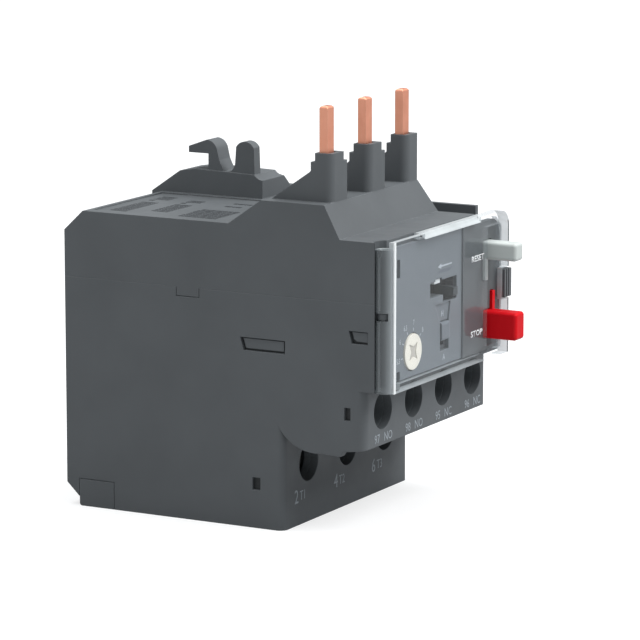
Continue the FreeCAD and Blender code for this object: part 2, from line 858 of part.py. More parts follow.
def front_wall_openings(body):
    """Add the stop button's guide rib and cut the lower front wall for the dial and operators."""
    box_solid("Pad", body, span("stop_middle", "2 * rib_margin + 2 * rod_radius"), ("rib_front", "rib_back"),
              ("mech_floor", "stop_axis + rib_margin + rod_radius"))
    round_solid("Pocket", body, "Y", "rib_front", "rib_back", [("stop_middle", "stop_axis")],
                "rod_radius + running_gap")
    round_solid("Pocket", body, "Y", "front_face", "inner_front", [("dial_x", "dial_height")],
                "dial_shaft_radius + running_gap")
    box_solid("Pocket", body, ("stop_left - running_gap", "stop_right + running_gap"), ("front_face", "inner_front"),
              ("stop_bottom - running_gap", "stop_top + running_gap"))
    stop_fin_slot(body, "front_face", "inner_front")
    reset_fin_slot(body, "front_face", "inner_front", "seam_height")
    box_solid("Pocket", body, span("selector_middle", "selector_stem + 2 * running_gap"), ("front_face", "inner_front"),
              ("selector_axis - selector_stem / 2 - selector_travel - running_gap",
               "selector_axis + selector_stem / 2 + running_gap"))
    lever_slot(body, "front_face", "inner_front", "lever_slot_bottom", "seam_height")


def lever_slot(body, low, high, floor, ceiling):
    """Cut the test lever's slot; its floor is low where the lever slides and high beside it."""
    points = [
        ("lever_slot_left", "lever_slot_high"),
        ("lever_slot_middle", "lever_slot_high"),
        ("lever_slot_middle", floor),
        ("lever_slot_right", floor),
        ("lever_slot_right", ceiling),
        ("lever_slot_left", ceiling),
    ]
    outline_solid("Pocket", body, "Y", low, high, points)


def stop_fin_slot(body, low, high):
    """Cut the narrow slot over the stop button that its fin slides in."""
    box_solid("Pocket", body, ("stop_right - fin_width - running_gap", "stop_right + running_gap"), (low, high),
              ("stop_top", "stop_top + stop_fin_height + running_gap"))


def reset_fin_slot(body, low, high, ceiling):
    """Cut the narrow slot under the reset button that its fin slides in."""
    box_solid("Pocket", body, ("reset_left - running_gap", "reset_left + fin_width + running_gap"), (low, high),
              ("reset_bottom - reset_fin_height - running_gap", ceiling))


def hinge_post(body, low, high):
    """Thicken the inner front left corner behind the cover's hinge channel."""
    return box_solid("Pad", body, ("-inner_side", "hinge_x + hinge_post_width"),
                     ("inner_front", "inner_front + hinge_post_depth"), (low, high))


def hinge_channel(body, low, high):
    """Hollow the front left corner round the cover's hinge axis."""
    return round_solid("Pocket", body, "Z", low, high, [("hinge_x", "hinge_y")], "hinge_channel_radius")


def hinge_lug(body):
    """Raise the lug that holds the cover's hinge pin at mid height in the channel."""
    box_solid("Pad", body, span("hinge_x", "2 * hinge_pin_radius + 2 * snap_gap"), ("hinge_y", "inner_front + hinge_post_depth / 2"),
              ("lug_bottom", "lug_top"))
    round_solid("Pad", body, "Z", "lug_bottom", "lug_top", [("hinge_x", "hinge_y")], "hinge_lug_radius")
    round_solid("Pocket", body, "Z", "lug_bottom", "lug_top", [("hinge_x", "hinge_y")], "hinge_pin_radius")


def side_recesses(body):
    """Cut the shallow ejector and catch recesses of the left side."""
    recesses = {
        "ejector": ("front_face", "ejector_lean"),
        "catch": ("front_face", "catch_lean"),
        "aux_notch": ("aux_front", "no_lean"),
        "lower_notch": ("lower_front", "no_lean"),
    }
    for name, (face, lean) in recesses.items():
        front = "%s + %s_front" % (face, name)
        back = "%s + %s_length" % (front, name)
        base = name + "_base"
        top = "%s + %s_rise" % (base, name)
        points = [(front, base), (back, base), ("%s + %s" % (back, lean), top), (front, top)]
        outline_solid("Pocket", body, "X", "-half_width", "recess_depth - half_width", points)


def pole_frame():
    """Mould the inner frame that parts the three bimetals and shuts off the mechanism well."""
    body = new_body("pole_frame")
    box_solid("Pad", body, ("snap_gap - inner_side", "inner_side - snap_gap"), ("mech_back", "chamber_front"),
              ("terminal_ceiling", "seam_height - snap_gap"))
    wall_side = [
        ("mech_back", "terminal_ceiling"),
        ("chamber_front", "terminal_ceiling"),
        ("chamber_front", "base_plate_thick + snap_gap"),
        ("chamber_step - snap_gap", "base_plate_thick + snap_gap"),
        ("chamber_step - snap_gap", "rear_floor"),
        ("inner_back - snap_gap", "rear_floor"),
        ("inner_back - snap_gap", "seam_height - snap_gap"),
        ("mech_back", "seam_height - snap_gap"),
    ]
    for side in (-1, 1):
        middle = "%.1f * pole_pitch" % (side / 2)
        outline_solid("Pad", body, "X", *span(middle, "divider_thick"), wall_side)
    box_solid("Pocket", body, ("nose_left - slot_gap", "nose_left + nose_width + trip_travel + slot_gap"),
              ("mech_back", "chamber_front"), ("slider_base - slot_gap", "seam_height"))
    for front in ("slider_front", "slider_back_front"):
        box_solid("Pocket", body, ("-pole_pitch", "pole_pitch"),
                  (front + " - slot_gap", front + " + slider_thick + slot_gap"),
                  ("slider_base - slot_gap", "seam_height"))
    return body


def power_terminal_frame():
    """Mould the comb that parts the power terminals, with their wire entries and screw tubes."""
    body = new_body("power_terminal_frame")
    across = ("snap_gap - inner_side", "inner_side - snap_gap")
    deep = ("terminal_front", "terminal_back - snap_gap")
    tube_back = "lower_front + power_well_depth"
    box_solid("Pad", body, across, deep, ("0", "wall"))
    box_solid("Pad", body, across, ("terminal_front", tube_back), ("0", "terminal_height"))
    for side in (-1, 1):
        middle = "%.1f * pole_pitch" % (side / 2)
        box_solid("Pad", body, span(middle, "pole_pitch - clamp_width - 2 * clamp_clearance"), deep,
                  ("0", "terminal_height"))
    entries = [(span(pole(i), "wire_entry_width"), ("power_tip - wire_entry_margin", "strip_back + snap_gap"))
               for i in POLES]
    grid_solid("Pocket", body, "Z", "0", "wall", entries)
    round_solid("Pocket", body, "Y", "terminal_front", tube_back, [(pole(i), "power_screw_height") for i in POLES],
                "power_well_radius")
    return body


def control_terminal_frame():
    """Mould the comb that parts the four control terminals, with their screw tubes."""
    body = new_body("control_terminal_frame")
    across = ("snap_gap - inner_side", "inner_side - snap_gap")
    tube_back = "aux_front + aux_well_depth"
    box_solid("Pad", body, across, ("control_front", tube_back), ("comb_base", "control_ceiling"))
    for place in (-1, 0, 1):
        middle = "aux_centre + %d * aux_pitch" % place
        box_solid("Pad", body, span(middle, "aux_divider_thick"), ("control_front", "lower_front - snap_gap"),
                  ("comb_base", "control_ceiling"))
    round_solid("Pocket", body, "Y", "control_front", tube_back,
                [(aux_pole(i), "aux_screw_height") for i in AUX_POLES], "aux_well_radius")
    return body


def upper_housing():
    """Mould the top: chamfered back, label face, pin ridge with three shrouds, plinth, hook and ear."""
    body = new_body("upper_housing")
    side = [
        ("back_face", "seam_height"),
        ("back_face", "top_height - top_chamfer_drop"),
        ("back_face - top_chamfer_depth", "top_height"),
        ("ramp_foot", "top_height"),
        ("ridge_back", "ridge_height"),
        ("ridge_front", "ridge_height"),
        ("front_ramp_foot", "front_top_height"),
        ("front_face", "front_top_height"),
        ("front_face", "seam_height"),
    ]
    outline_solid("Pad", body, "X", "-half_width", "half_width", side)
    # open pocket right of the pin block, with its thin side wall
    pocket = [
        ("block_right", "ridge_height + wall"),
        ("block_right", "ridge_height"),
        ("block_right + block_flare", "pocket_floor"),
        ("half_width - side_wall", "pocket_floor"),
        ("half_width - side_wall", "ridge_height + wall"),
    ]
    outline_solid("Pocket", body, "Y", "front_face", "ramp_foot", pocket)
    box_solid("Pocket", body, ("half_width - side_wall", "half_width"), ("front_face", "ramp_foot"),
              ("front_top_height", "ridge_height + wall"))
    box_solid("Pocket", body, ("block_right + block_flare", "half_width"),
              ("front_face", "front_face + side_wall_front_gap"), ("pocket_floor", "ridge_height"))
    pin_shrouds(body)
    hook_block(body)
    box_solid("Pocket", body, ("label_margin - half_width", "plinth_left - label_margin / 2"),
              ("ramp_foot + label_setback", "ramp_foot + label_setback + label_length"),
              ("top_height - label_recess", "top_height"))
    # hollow inside
    box_solid("Pocket", body, ("-inner_side", "inner_side"), ("inner_front", "inner_back"), ("seam_height", "upper_ceiling"))
    box_solid("Pocket", body, ("-inner_side", "inner_side"), ("ramp_foot + wall", "back_face - top_chamfer_depth"),
              ("upper_ceiling", "rear_ceiling"))
    box_solid("Pocket", body, ("-inner_side", "block_right - wall / 2"), ("ridge_front + wall / 2", "ridge_back"),
              ("upper_ceiling", "block_ceiling"))
    pins = [(span(pin(i), "pin_width + 2 * pin_fit"), span("pin_y", "pin_thick + 2 * pin_fit")) for i in POLES]
    grid_solid("Pocket", body, "Z", "block_ceiling", "shroud_height - shroud_bore_depth", pins)
    # snap tabs at the seam
    for low, high in (("-half_width", "wall - half_width - snap_gap"), ("half_width - wall + snap_gap", "half_width")):
        outline_solid("Pad", body, "X", low, high,
                      box_points(("snap_tab_back - snap_tab_width", "snap_tab_back"),
                                 ("seam_height - snap_tab_drop", "seam_height + wall")))
    # rib of the reset button's rod and the openings of the front wall
    box_solid("Pad", body, span("reset_middle", "2 * rib_margin + 2 * rod_radius"), ("rib_front", "rib_back"),
              ("seam_height + slot_gap", "upper_ceiling"))
    round_solid("Pocket", body, "Y", "rib_front", "rib_back", [("reset_middle", "reset_axis")],
                "rod_radius + running_gap")
    box_solid("Pocket", body, span("reset_middle", "reset_width + 2 * running_gap"), ("front_face", "inner_front"),
              ("reset_bottom - running_gap", "reset_bottom + reset_height + running_gap"))
    box_solid("Pocket", body, ("reset_left - running_gap", "reset_left + fin_width + running_gap"),
              ("front_face", "inner_front"), ("seam_height", "reset_bottom"))
    box_solid("Pocket", body, ("lever_slot_left", "lever_slot_right"), ("front_face", "inner_front"),
              ("seam_height", "lever_slot_top"))
    box_solid("Pocket", body, span("flag_left + flag_width / 2", "flag_width + 2 * running_gap"),
              ("front_face", "inner_front"), ("flag_top - flag_thick - running_gap", "flag_top + running_gap"))
    hinge_post(body, "seam_height", "upper_ceiling")
    hinge_channel(body, "seam_height", "front_top_height")
    return body


def pin_shrouds(body):
    """Raise the three stepped shrouds with their gussets along the ridge and hollow their mouths."""
    foot = [
        ("ridge_front", "ridge_height - wall / 2"),
        ("ridge_front", "shroud_step_height"),
        ("shroud_back + gusset_step", "shroud_step_height"),
        ("shroud_back + gusset_step", "shroud_shoulder_height"),
        ("shroud_back + gusset_step + gusset_lean", "shroud_shoulder_height - gusset_drop"),
        ("ridge_front + gusset_length", "ridge_height"),
        ("ridge_front + gusset_length", "ridge_height - wall / 2"),
    ]
    for index in POLES:
        left = "shroud_left + %d * pin_pitch" % index
        last = index == POLES[-1]
        foot_right = left + (" + end_shroud_width" if last else " + shroud_width + shroud_step")
        top_right = left + (" + end_shroud_width" if last else " + shroud_width")
        outline_solid("Pad", body, "X", left, foot_right, foot)
        box_solid("Pad", body, (left, top_right), ("ridge_front", "shroud_back"),
                  ("shroud_step_height", "shroud_height"))
    groups = [("Z", {"x": "shroud_left + %d * pin_pitch" % index, "y": "ridge_front"}) for index in POLES]
    blend("Fillet", body, groups, "shroud_round")
    mouths = [(span(pin(i), "mouth_width"), span("pin_y", "mouth_depth")) for i in POLES]
    grid_solid("Pocket", body, "Z", "shroud_height - shroud_bore_depth", "shroud_height", mouths)


def hook_block(body):
    """Raise the plinth on the label face with the rear hook and the front ear."""
    plinth = [
        ("plinth_back", "top_height - wall / 2"),
        ("plinth_back", "top_height"),
        ("plinth_back - plinth_slope", "plinth_height - plinth_back_drop"),
        ("plinth_back - plinth_slope - plinth_back_length", "plinth_height"),
        ("plinth_front + plinth_nose_length", "plinth_height - plinth_front_drop"),
        ("plinth_front", "plinth_height - plinth_nose_drop", "-plinth_nose_round"),
        ("plinth_front", "top_height - wall / 2"),
    ]
    outline_solid("Pad", body, "X", "plinth_left", "plinth_left + plinth_width + plinth_flare", plinth)
    flare = [
        ("plinth_left + plinth_width", "plinth_height + wall"),
        ("plinth_left + plinth_width", "plinth_height - flare_top_drop"),
        ("plinth_left + plinth_width + flare_middle_share * plinth_flare", "plinth_height - flare_middle_drop"),
        ("plinth_left + plinth_width + plinth_flare", "top_height"),
        ("plinth_left + plinth_width + plinth_flare", "plinth_height + wall"),
    ]
    outline_solid("Pocket", body, "Y", "plinth_front", "plinth_back", flare)
    heel = ("hook_front - hook_heel", "plinth_height - plinth_front_drop")
    hook_end = "hook_front + hook_stem + hook_reach"
    hook = [
        ("hook_front - hook_heel", "plinth_height - wall"),
        heel,
        ("hook_front", "plinth_height + hook_heel_rise"),
        ("hook_front + hook_lean", "hook_top - hook_shoulder_drop"),
        ("hook_front + hook_crown", "hook_top", "-hook_round"),
        (hook_end, "hook_top - hook_tip_drop"),
        (hook_end, "hook_top - hook_tip_drop - hook_lip"),
        ("hook_front + hook_stem", "hook_top - hook_tip_drop - hook_lip"),
        ("hook_front + hook_stem", "plinth_height - wall"),
    ]
    outline_solid("Pad", body, "X", "hook_left", "hook_left + hook_width", hook)
    ear = [
        ("ear_front", "plinth_height - wall"),
        ("ear_front + ear_taper", "ear_top - ear_shoulder_drop"),
        ("ear_front + ear_width - ear_taper", "ear_top - ear_shoulder_drop", "-ear_round"),
        ("ear_front + ear_width", "plinth_height + saddle_rise"),
        heel + ("saddle_round",),
        ("hook_front - hook_heel", "plinth_height - wall"),
    ]
    outline_solid("Pad", body, "X", "hook_left", "hook_left + ear_thick", ear)


def base_cover():
    """Close the bimetal chambers from below; its tab shows at the back of both sides."""
    body = new_body("base_cover")
    side = [
        ("base_tab_back", "0"),
        ("base_tab_back", "base_tab_height"),
        ("base_tab_front", "base_tab_height"),
        ("base_tab_front", "0"),
    ]
    outline_solid("Pad", body, "X", "-half_width", "half_width", side)
    box_solid("Pad", body, ("snap_gap - inner_side", "inner_side - snap_gap"),
              ("chamber_front + snap_gap", "base_tab_front + snap_gap"), ("0", "base_plate_thick - snap_gap"))
    blend("Fillet", body, [("X", {"y": "base_tab_back", "z": "0"})], "soft_edge")
    return body


def fascia():
    """Cut the front plate with its raised button panel, dial seat, windows, rim slots and channel."""
    body = new_body("fascia")
    outer = box_points(("fascia_left", "fascia_right"), ("fascia_bottom", "fascia_top"))
    outline_solid("Pad", body, "Y", "panel_front", "front_face", outer)
    blend("Fillet", body, [("Y", {"x": "fascia_right", "z": "fascia_top"}),
                           ("Y", {"x": "fascia_right", "z": "fascia_bottom"})], "cover_corner")
    depth = ("panel_front", "front_face")
    box_solid("Pocket", body, ("fascia_left", "panel_left"), ("panel_front", "fascia_front"),
              ("fascia_bottom", "fascia_top"))
    channel = [
        ("selector_left - running_gap", "selector_top"),
        ("selector_left + selector_width + running_gap", "selector_top"),
        ("channel_right", "channel_top"),
        ("channel_left", "channel_top"),
    ]
    outline_solid("Pocket", body, "Y", "fascia_front", "fascia_front + channel_depth", channel)
    round_solid("Pocket", body, "Y", *depth, [("dial_x", "dial_height")], "dial_radius + running_gap")
    windows = [
        (("stop_left - running_gap", "stop_right + running_gap"), ("stop_bottom - running_gap", "stop_top + running_gap")),
        (span("reset_middle", "reset_width + 2 * running_gap"),
         ("reset_bottom - running_gap", "reset_bottom + reset_height + running_gap")),
        (("selector_left - running_gap", "selector_left + selector_width + running_gap"),
         ("selector_low - running_gap", "selector_top + running_gap")),
        (span("flag_left + flag_width / 2", "flag_width + 2 * running_gap"),
         ("flag_top - flag_thick - running_gap", "flag_top + running_gap")),
        (("latch_left - running_gap", "fascia_right"), ("latch_bottom - running_gap", "latch_top + running_gap")),
        (("rim_slot_left", "rim_slot_left + rim_slot_width"), ("rim_slot_high", "rim_slot_high + rim_slot_height")),
        (("rim_slot_left", "rim_slot_left + rim_slot_width"), ("fascia_bottom", "fascia_bottom + rim_slot_height / 2")),
    ]
    for window in windows:
        grid_solid("Pocket", body, "Y", *depth, [window])
    stop_fin_slot(body, *depth)
    reset_fin_slot(body, *depth, "reset_bottom")
    lever_slot(body, *depth, "lever_slot_bottom + lever_slot_step", "lever_slot_top")


def clear_cover():
    """Mould the clear swinging cover: front plate, rim walls, button window and hinge barrel."""
    body = new_body("clear_cover")
    outer = box_points(("plate_left", "cover_right"), ("cover_bottom", "cover_top"))
    outline_solid("Pad", body, "Y", "cover_front", "cover_back", outer)
    blend("Fillet", body, [("Y", {"x": "cover_right", "z": "cover_top"})], "cover_corner")
    inner_right = "cover_right - cover_side_wall"
    inner_top = "cover_top - cover_side_wall"
    hollow = [
        ("plate_left", "cover_bottom"),
        ("bottom_wall_left", "cover_bottom"),
        ("bottom_wall_left", "cover_bottom + cover_side_wall"),
        (inner_right, "cover_bottom + cover_side_wall"),
        (inner_right, "cover_top - cover_corner"),
        ("cover_right - cover_corner", inner_top),
        ("top_wall_left", inner_top),
        ("top_wall_left", "cover_top"),
        ("plate_left", "cover_top"),
    ]
    outline_solid("Pocket", body, "Y", "cover_inner", "cover_back", hollow)
    grip = [
        ("cover_front", "cover_top - grip_drop"),
        ("cover_front + grip_drop", "cover_top"),
        ("cover_front", "cover_top"),
    ]
    outline_solid("Pocket", body, "X", "top_wall_left", "top_wall_left + grip_length", grip)
    window = (("window_left", "window_right"), ("window_bottom", "window_top"))
    grid_solid("Pocket", body, "Y", "cover_front", "cover_inner", [window])
    box_solid("Pocket", body, ("latch_left - 2 * running_gap", "cover_right"), ("cover_front", "cover_back"),
              ("latch_bottom - 2 * running_gap", "latch_top + 2 * running_gap"))
    axis = [("hinge_x", "hinge_y")]
    round_solid("Pad", body, "Z", "barrel_bottom", "barrel_top", axis, "knuckle_radius")
    box_solid("Pocket", body, ("-half_width", "hinge_x + knuckle_radius + running_gap"),
              ("hinge_y - hinge_lug_radius - running_gap", "hinge_y + knuckle_radius"),
              ("lug_bottom - running_gap", "lug_top + running_gap"))
    round_solid("Pocket", body, "Z", "barrel_bottom + barrel_floor", "barrel_top", axis, "knuckle_bore")
    round_solid("Pocket", body, "Z", "barrel_top - barrel_mouth_depth", "barrel_top", axis, "barrel_mouth_radius")
    return body


def cover_hinge_pin():
    """Turn the pin that the cover's barrel rides on."""
    return joined("cover_hinge_pin", [
        rod("hinge_pin_shaft", "Z", ("hinge_x", "hinge_y"), "hinge_pin_radius",
            "barrel_bottom + barrel_floor + running_gap", "hinge_lug_middle"),
        rod("hinge_pin_upper", "Z", ("hinge_x", "hinge_y"), "hinge_pin_radius",
            "hinge_lug_middle", "barrel_top - barrel_mouth_depth"),
    ])


def cover_latch():
    """Mould the ribbed latch lug that the cover's free edge snaps round."""
    front = "front_face - latch_reach"
    rear = block("latch_root", ("latch_left", "half_width"), (front, "front_face"), ("latch_bottom", "latch_top"))
    starts = ["latch_left + latch_groove_first + %d * latch_groove_pitch" % i for i in LATCH_GROOVES]
    grooves = [
        block("latch_groove_%d" % i, (start, start + " + latch_groove_width"), (front, front + " + latch_groove_depth"),
              ("latch_bottom", "latch_top")) for i, start in zip(LATCH_GROOVES, starts)
    ]
    return carved("cover_latch", rear, grooves)


# ---- power path ------------------------------------------------------------------------------------


def power_path():
    """Make the copper pins, heater windings, bimetals, load strips, clamps and screws of the poles."""
    screws = []
    for index in POLES:
        tag = "_%d" % (index + 1)
        line_pin(index, tag)
        heater_winding(index, tag)
        middle = pole(index)
        blade = block("bimetal" + tag, span(middle, "bimetal_thick"), span("bimetal_middle", "bimetal_width"),
                      ("bimetal_base", "bimetal_tip"))
        blade.Label = "bimetal" + tag
        nodes.append(blade)
        joined("load_strip" + tag, [
            block("load_leg" + tag, span(middle, "strip_width"), ("strip_front", "strip_back"),
                  ("strip_foot", "strip_height + strip_thick")),
            block("load_shelf" + tag, span(middle, "strip_width"),
                  ("strip_front", "bimetal_middle + bimetal_width / 2"),
                  ("strip_height", "strip_height + strip_thick")),
        ])
        box_clamp("power_clamp" + tag, middle, "power_screw_height",
                  ("clamp_width", "clamp_front", "clamp_back", "clamp_height", "clamp_wall"), "power_shaft_radius")
        screws.append(clamp_screw("power_screw" + tag, middle, "power_screw_height",
                                  ("power_head_radius", "power_head_length", "power_shaft_radius"),
                                  "clamp_front", "power_tip"))
    grouped("power_screws", screws)


def line_pin(index, tag):
    """Bend one line conductor: the plug pin outside, the bar inside to its pole."""
    x = pin(index)
    top = "line_bar_height + line_bar_thick"
    rear = span("bimetal_middle", "riser_width")
    low = "min(%s; %s) - pin_width / 2" % (x, pole(index))
    high = "max(%s; %s) + pin_width / 2" % (x, pole(index))
    body = new_body("line_pin" + tag)
    box_solid("Pad", body, span(x, "pin_width"), span("pin_y", "pin_thick"), ("line_bar_height", "pin_tip_height"))
    blend("Fillet", body, [("X", {"z": "pin_tip_height"}), ("Y", {"z": "pin_tip_height"})], "soft_edge")
    box_solid("Pad", body, span(x, "pin_width"), ("pin_y", rear[1]), ("line_bar_height", top))
    box_solid("Pad", body, (low, high), rear, ("line_bar_height", top))
    return body


def heater_winding(index, tag):
    """Wind the heater ribbon round its bimetal and lead it up to the line bar."""
    middle = pole(index)
    body = new_body("heater_winding" + tag)
    inner_x = span(middle, "bimetal_thick + 2 * ribbon_gap")
    inner_y = span("bimetal_middle", "bimetal_width + 2 * ribbon_gap")
    outer_x = span(middle, "bimetal_thick + 2 * ribbon_gap + 2 * ribbon_thick")
    outer_y = span("bimetal_middle", "bimetal_width + 2 * ribbon_gap + 2 * ribbon_thick")
    start = "bimetal_base + ribbon_start"
    turns = int(number("ribbon_turns"))
    top = start + " + %d * ribbon_pitch + ribbon_width" % (turns - 1)
    box_solid("Pad", body, outer_x, outer_y, (start, top))
    for turn in range(turns - 1):
        low = start + " + %d * ribbon_pitch + ribbon_width" % turn
        high = start + " + %d * ribbon_pitch" % (turn + 1)
        keep = outer_x[0] if turn % 2 else outer_x[1]
        if turn % 2:
            across = (keep + " + ribbon_thick", outer_x[1])
        else:
            across = (outer_x[0], keep + " - ribbon_thick")
        box_solid("Pocket", body, across, outer_y, (low, high))
    box_solid("Pocket", body, inner_x, inner_y, (start, top))
    box_solid("Pad", body, (outer_x[0], outer_x[0] + " + ribbon_thick"), span("bimetal_middle", "riser_width"),
              (top, "line_bar_height"))
    return body


def box_clamp(label, middle, height, sizes, shaft):
    """Bend a box clamp that is open along Z for the wire and bored at the front for its screw."""
    width, front, back, tall, thick = sizes
    shell = block(label + "_shell", span(middle, width), (front, back), span(height, tall))
    hollow = block(label + "_hollow", span(middle, "%s - 2 * %s" % (width, thick)),
                   ("%s + %s" % (front, thick), "%s - %s" % (back, thick)), span(height, tall))
    bore = rod(label + "_bore", "Y", (middle, height), shaft + " + pin_fit", front, "%s + %s" % (front, thick))
    return carved(label, shell, [hollow, bore])


def clamp_screw(name, middle, height, sizes, seat, tip):
    """Turn a terminal screw with a cross slot in its head."""
    head_radius, head_length, shaft_radius = sizes
    head = rod(name + "_head", "Y", (middle, height), head_radius, "%s - %s" % (seat, head_length), seat)
    shaft = rod(name + "_shaft", "Y", (middle, height), shaft_radius, seat, tip)
    front = "%s - %s" % (seat, head_length)
    depth = front + " + power_slot_depth"
    wide = "2 * %s - 2 * power_slot_width" % head_radius
    across = block(name + "_slot_a", span(middle, wide), (front, depth), span(height, "power_slot_width"))
    upright = block(name + "_slot_b", span(middle, "power_slot_width"), (front, depth), span(height, wide))
    item = document.addObject("Part::Cut", name)
    item.Base = fused(name + "_blank", [head, shaft])
    item.Tool = fused(name + "_cross", [across, upright])
    return item


# ---- control path ----------------------------------------------------------------------------------


def control_path():
    """Make the four contact strips with their clamps and screws."""
    screws = []
    for index, numeral in zip(AUX_POLES, AUX_NUMBERS):
        middle = aux_pole(index)
        strip = block("contact_strip_%d" % numeral, span(middle, "blade_width"), ("blade_front", "blade_back"),
                      ("aux_clamp_bottom", "blade_height"))
        strip.Label = "contact_strip_%d" % numeral
        nodes.append(strip)
        tag = "_%d" % numeral
        box_clamp("aux_clamp" + tag, middle, "aux_screw_height",
                  ("aux_clamp_width", "aux_clamp_front", "aux_clamp_back", "aux_clamp_height", "aux_clamp_wall"),
                  "aux_shaft_radius")
        screws.append(clamp_screw("aux_screw" + tag, middle, "aux_screw_height",
                                  ("aux_head_radius", "aux_head_length", "aux_shaft_radius"),
                                  "aux_clamp_front", "aux_tip"))
    grouped("aux_screws", screws)


def contact_carrier():
    """Mould the carrier that holds both bridges and is pushed back by the trip lever."""
    lug_x = ("arm_tip - lug_width / 2", "arm_tip + lug_width / 2")
    top = ("carrier_base", "carrier_base + carrier_height")
    joined("contact_carrier", [
        block("carrier_bar", ("aux_centre - carrier_reach", "aux_centre + carrier_reach"),
              ("carrier_front", "carrier_back"), top),
        block("carrier_nc_post", span("nc_post", "post_width"), ("carrier_front", "carrier_back"),
              ("bridge_base - post_lap", "carrier_base")),
        block("carrier_no_arm", span("no_post", "post_width"), ("no_bridge_front - post_wall", "carrier_front"), top),
        block("carrier_no_post", span("no_post", "post_width"), ("no_bridge_front - post_wall", "no_bridge_front"),
              ("bridge_base - post_lap", "carrier_base")),
        block("carrier_lug_arm", lug_x, ("carrier_back", "lug_face + lug_thick"), top),
        block("carrier_lug", lug_x, ("lug_face", "lug_face + lug_thick"), ("hub_base + lug_base", "carrier_base")),
    ])
    reach = "aux_pitch + blade_width - 2 * bridge_overhang"
    bar = ("bridge_base", "bridge_base + bridge_height")
    bridges = {
        "nc_bridge": ("nc_post", ("blade_back + closed_gap", "carrier_front")),
        "no_bridge": ("no_post", ("no_bridge_front", "no_bridge_back")),
    }
    for name, (middle, deep) in bridges.items():
        item = block(name, span(middle, reach), deep, bar)
        item.Label = name
        nodes.append(item)
    joined("trip_flag", [
        block("flag_stalk", ("flag_left", "flag_left + flag_width"), ("carrier_front", "carrier_back"),
              ("flag_base", "flag_top")),
        block("flag_arm", ("flag_left", "flag_left + flag_width"), ("fascia_front + flag_setback", "carrier_front"),
              ("flag_top - flag_thick", "flag_top")),
    ])


# ---- trip mechanism --------------------------------------------------------------------------------


def trip_mechanism():
    """Make the differential sliders, their link, the trip lever with its strip, and the pivot pin."""
    tall = ("slider_base", "slider_top")
    front_bar = ("slider_front", "slider_front + slider_thick")
    back_bar = ("slider_back_front", "slider_back_front + slider_thick")
    drop = ("slider_base - finger_length", "slider_base")
    fingers = []
    for index in POLES:
        face = pole(index) + " + bimetal_thick / 2 + finger_gap"
        fingers.append(block("push_finger_%d" % index, (face, face + " + finger_width"), front_bar, drop))
    nose_x = ("nose_left", "nose_left + nose_width")
    nose_y = ("nose_front", "nose_front + nose_depth")
    joined("trip_slider", [
        block("slider_bar", ("-slider_reach", "nose_left + nose_width"), front_bar, tall),
        block("slider_nose_arm", nose_x, ("nose_front", "slider_front"), tall),
        block("slider_nose", nose_x, nose_y, ("slider_base - nose_drop", "slider_base")),
    ] + fingers)
    returns = []
    for index in POLES:
        face = pole(index) + " - bimetal_thick / 2 - finger_gap - trip_travel"
        returns.append(block("return_finger_%d" % index, (face + " - finger_width", face), back_bar, drop))
    joined("differential_slider",
           [block("differential_bar", ("-slider_reach", "nose_left + nose_width"), back_bar, tall)] + returns)
    link = block("differential_lever", ("nose_left + nose_width - link_width", "nose_left + nose_width"),
                 ("slider_front", "slider_back_front + slider_thick"), ("slider_top", "slider_top + link_thick"))
    link.Label = "differential_lever"
    nodes.append(link)
    pivot = ("pivot_x", "pivot_y")
    hub = ("hub_base", "hub_base + hub_height")
    lever = fused("trip_lever_blank", [
        rod("trip_lever_hub", "Z", pivot, "hub_radius", *hub),
        block("trip_lever_arm", ("arm_tip - lug_width / 2 + arm_end_gap", "pivot_x"), ("arm_front", "arm_back"),
              ("hub_base + arm_base", "hub_base + hub_height - arm_top_gap")),
        block("trip_lever_stub", span("pivot_x", "arm_thick"), ("pivot_y", "pivot_y + strip_comp_length / 2"),
              ("hub_base + stub_base", "hub_base + hub_height - stub_top_gap")),
    ])
    carved("trip_lever", lever, [
        rod("trip_lever_bore", "Z", pivot, "pivot_radius + pin_fit", *hub),
    ])
    strip = block("compensating_strip", ("strip_comp_left", "strip_comp_left + strip_comp_thick"),
                  ("pivot_y + hub_radius", "pivot_y + strip_comp_length"), ("hub_base + stub_base", "hub_base + hub_height"))
    strip.Label = "compensating_strip"
    nodes.append(strip)
    post = rod("trip_pivot_pin", "Z", pivot, "pivot_radius", "terminal_ceiling", "hub_base + hub_height + pin_spare")
    post.Label = "trip_pivot_pin"
    nodes.append(post)


# ---- operators -------------------------------------------------------------------------------------


def setting_dial():
    """Turn the dial with its cross slot, and the eccentric cam behind the front wall."""
    body = new_body("setting_dial")
    centre = [("dial_x", "dial_height")]
    face = "front_face - snap_gap - dial_thick"
    round_solid("Pad", body, "Y", face, "front_face - snap_gap", centre, "dial_radius")
    round_solid("Pad", body, "Y", "front_face - snap_gap", "flange_front + cam_thick", centre, "dial_shaft_radius")
    slots = [
        (span("dial_x", "dial_slot_share * dial_radius"), span("dial_height", "dial_slot_width")),
        (span("dial_x", "dial_slot_width"), span("dial_height", "dial_slot_share * dial_radius")),
    ]
    for slot in slots:
        grid_solid("Pocket", body, "Y", face, face + " + dial_slot_depth", [slot])
    cam = rod("dial_cam_disc", "Y", ("dial_x + cam_offset", "dial_height"), "cam_radius",
              "flange_front", "flange_front + cam_thick")
    bore = rod("dial_cam_bore", "Y", ("dial_x", "dial_height"), "dial_shaft_radius",
               "flange_front", "flange_front + cam_thick")
    carved("dial_cam", cam, [bore])


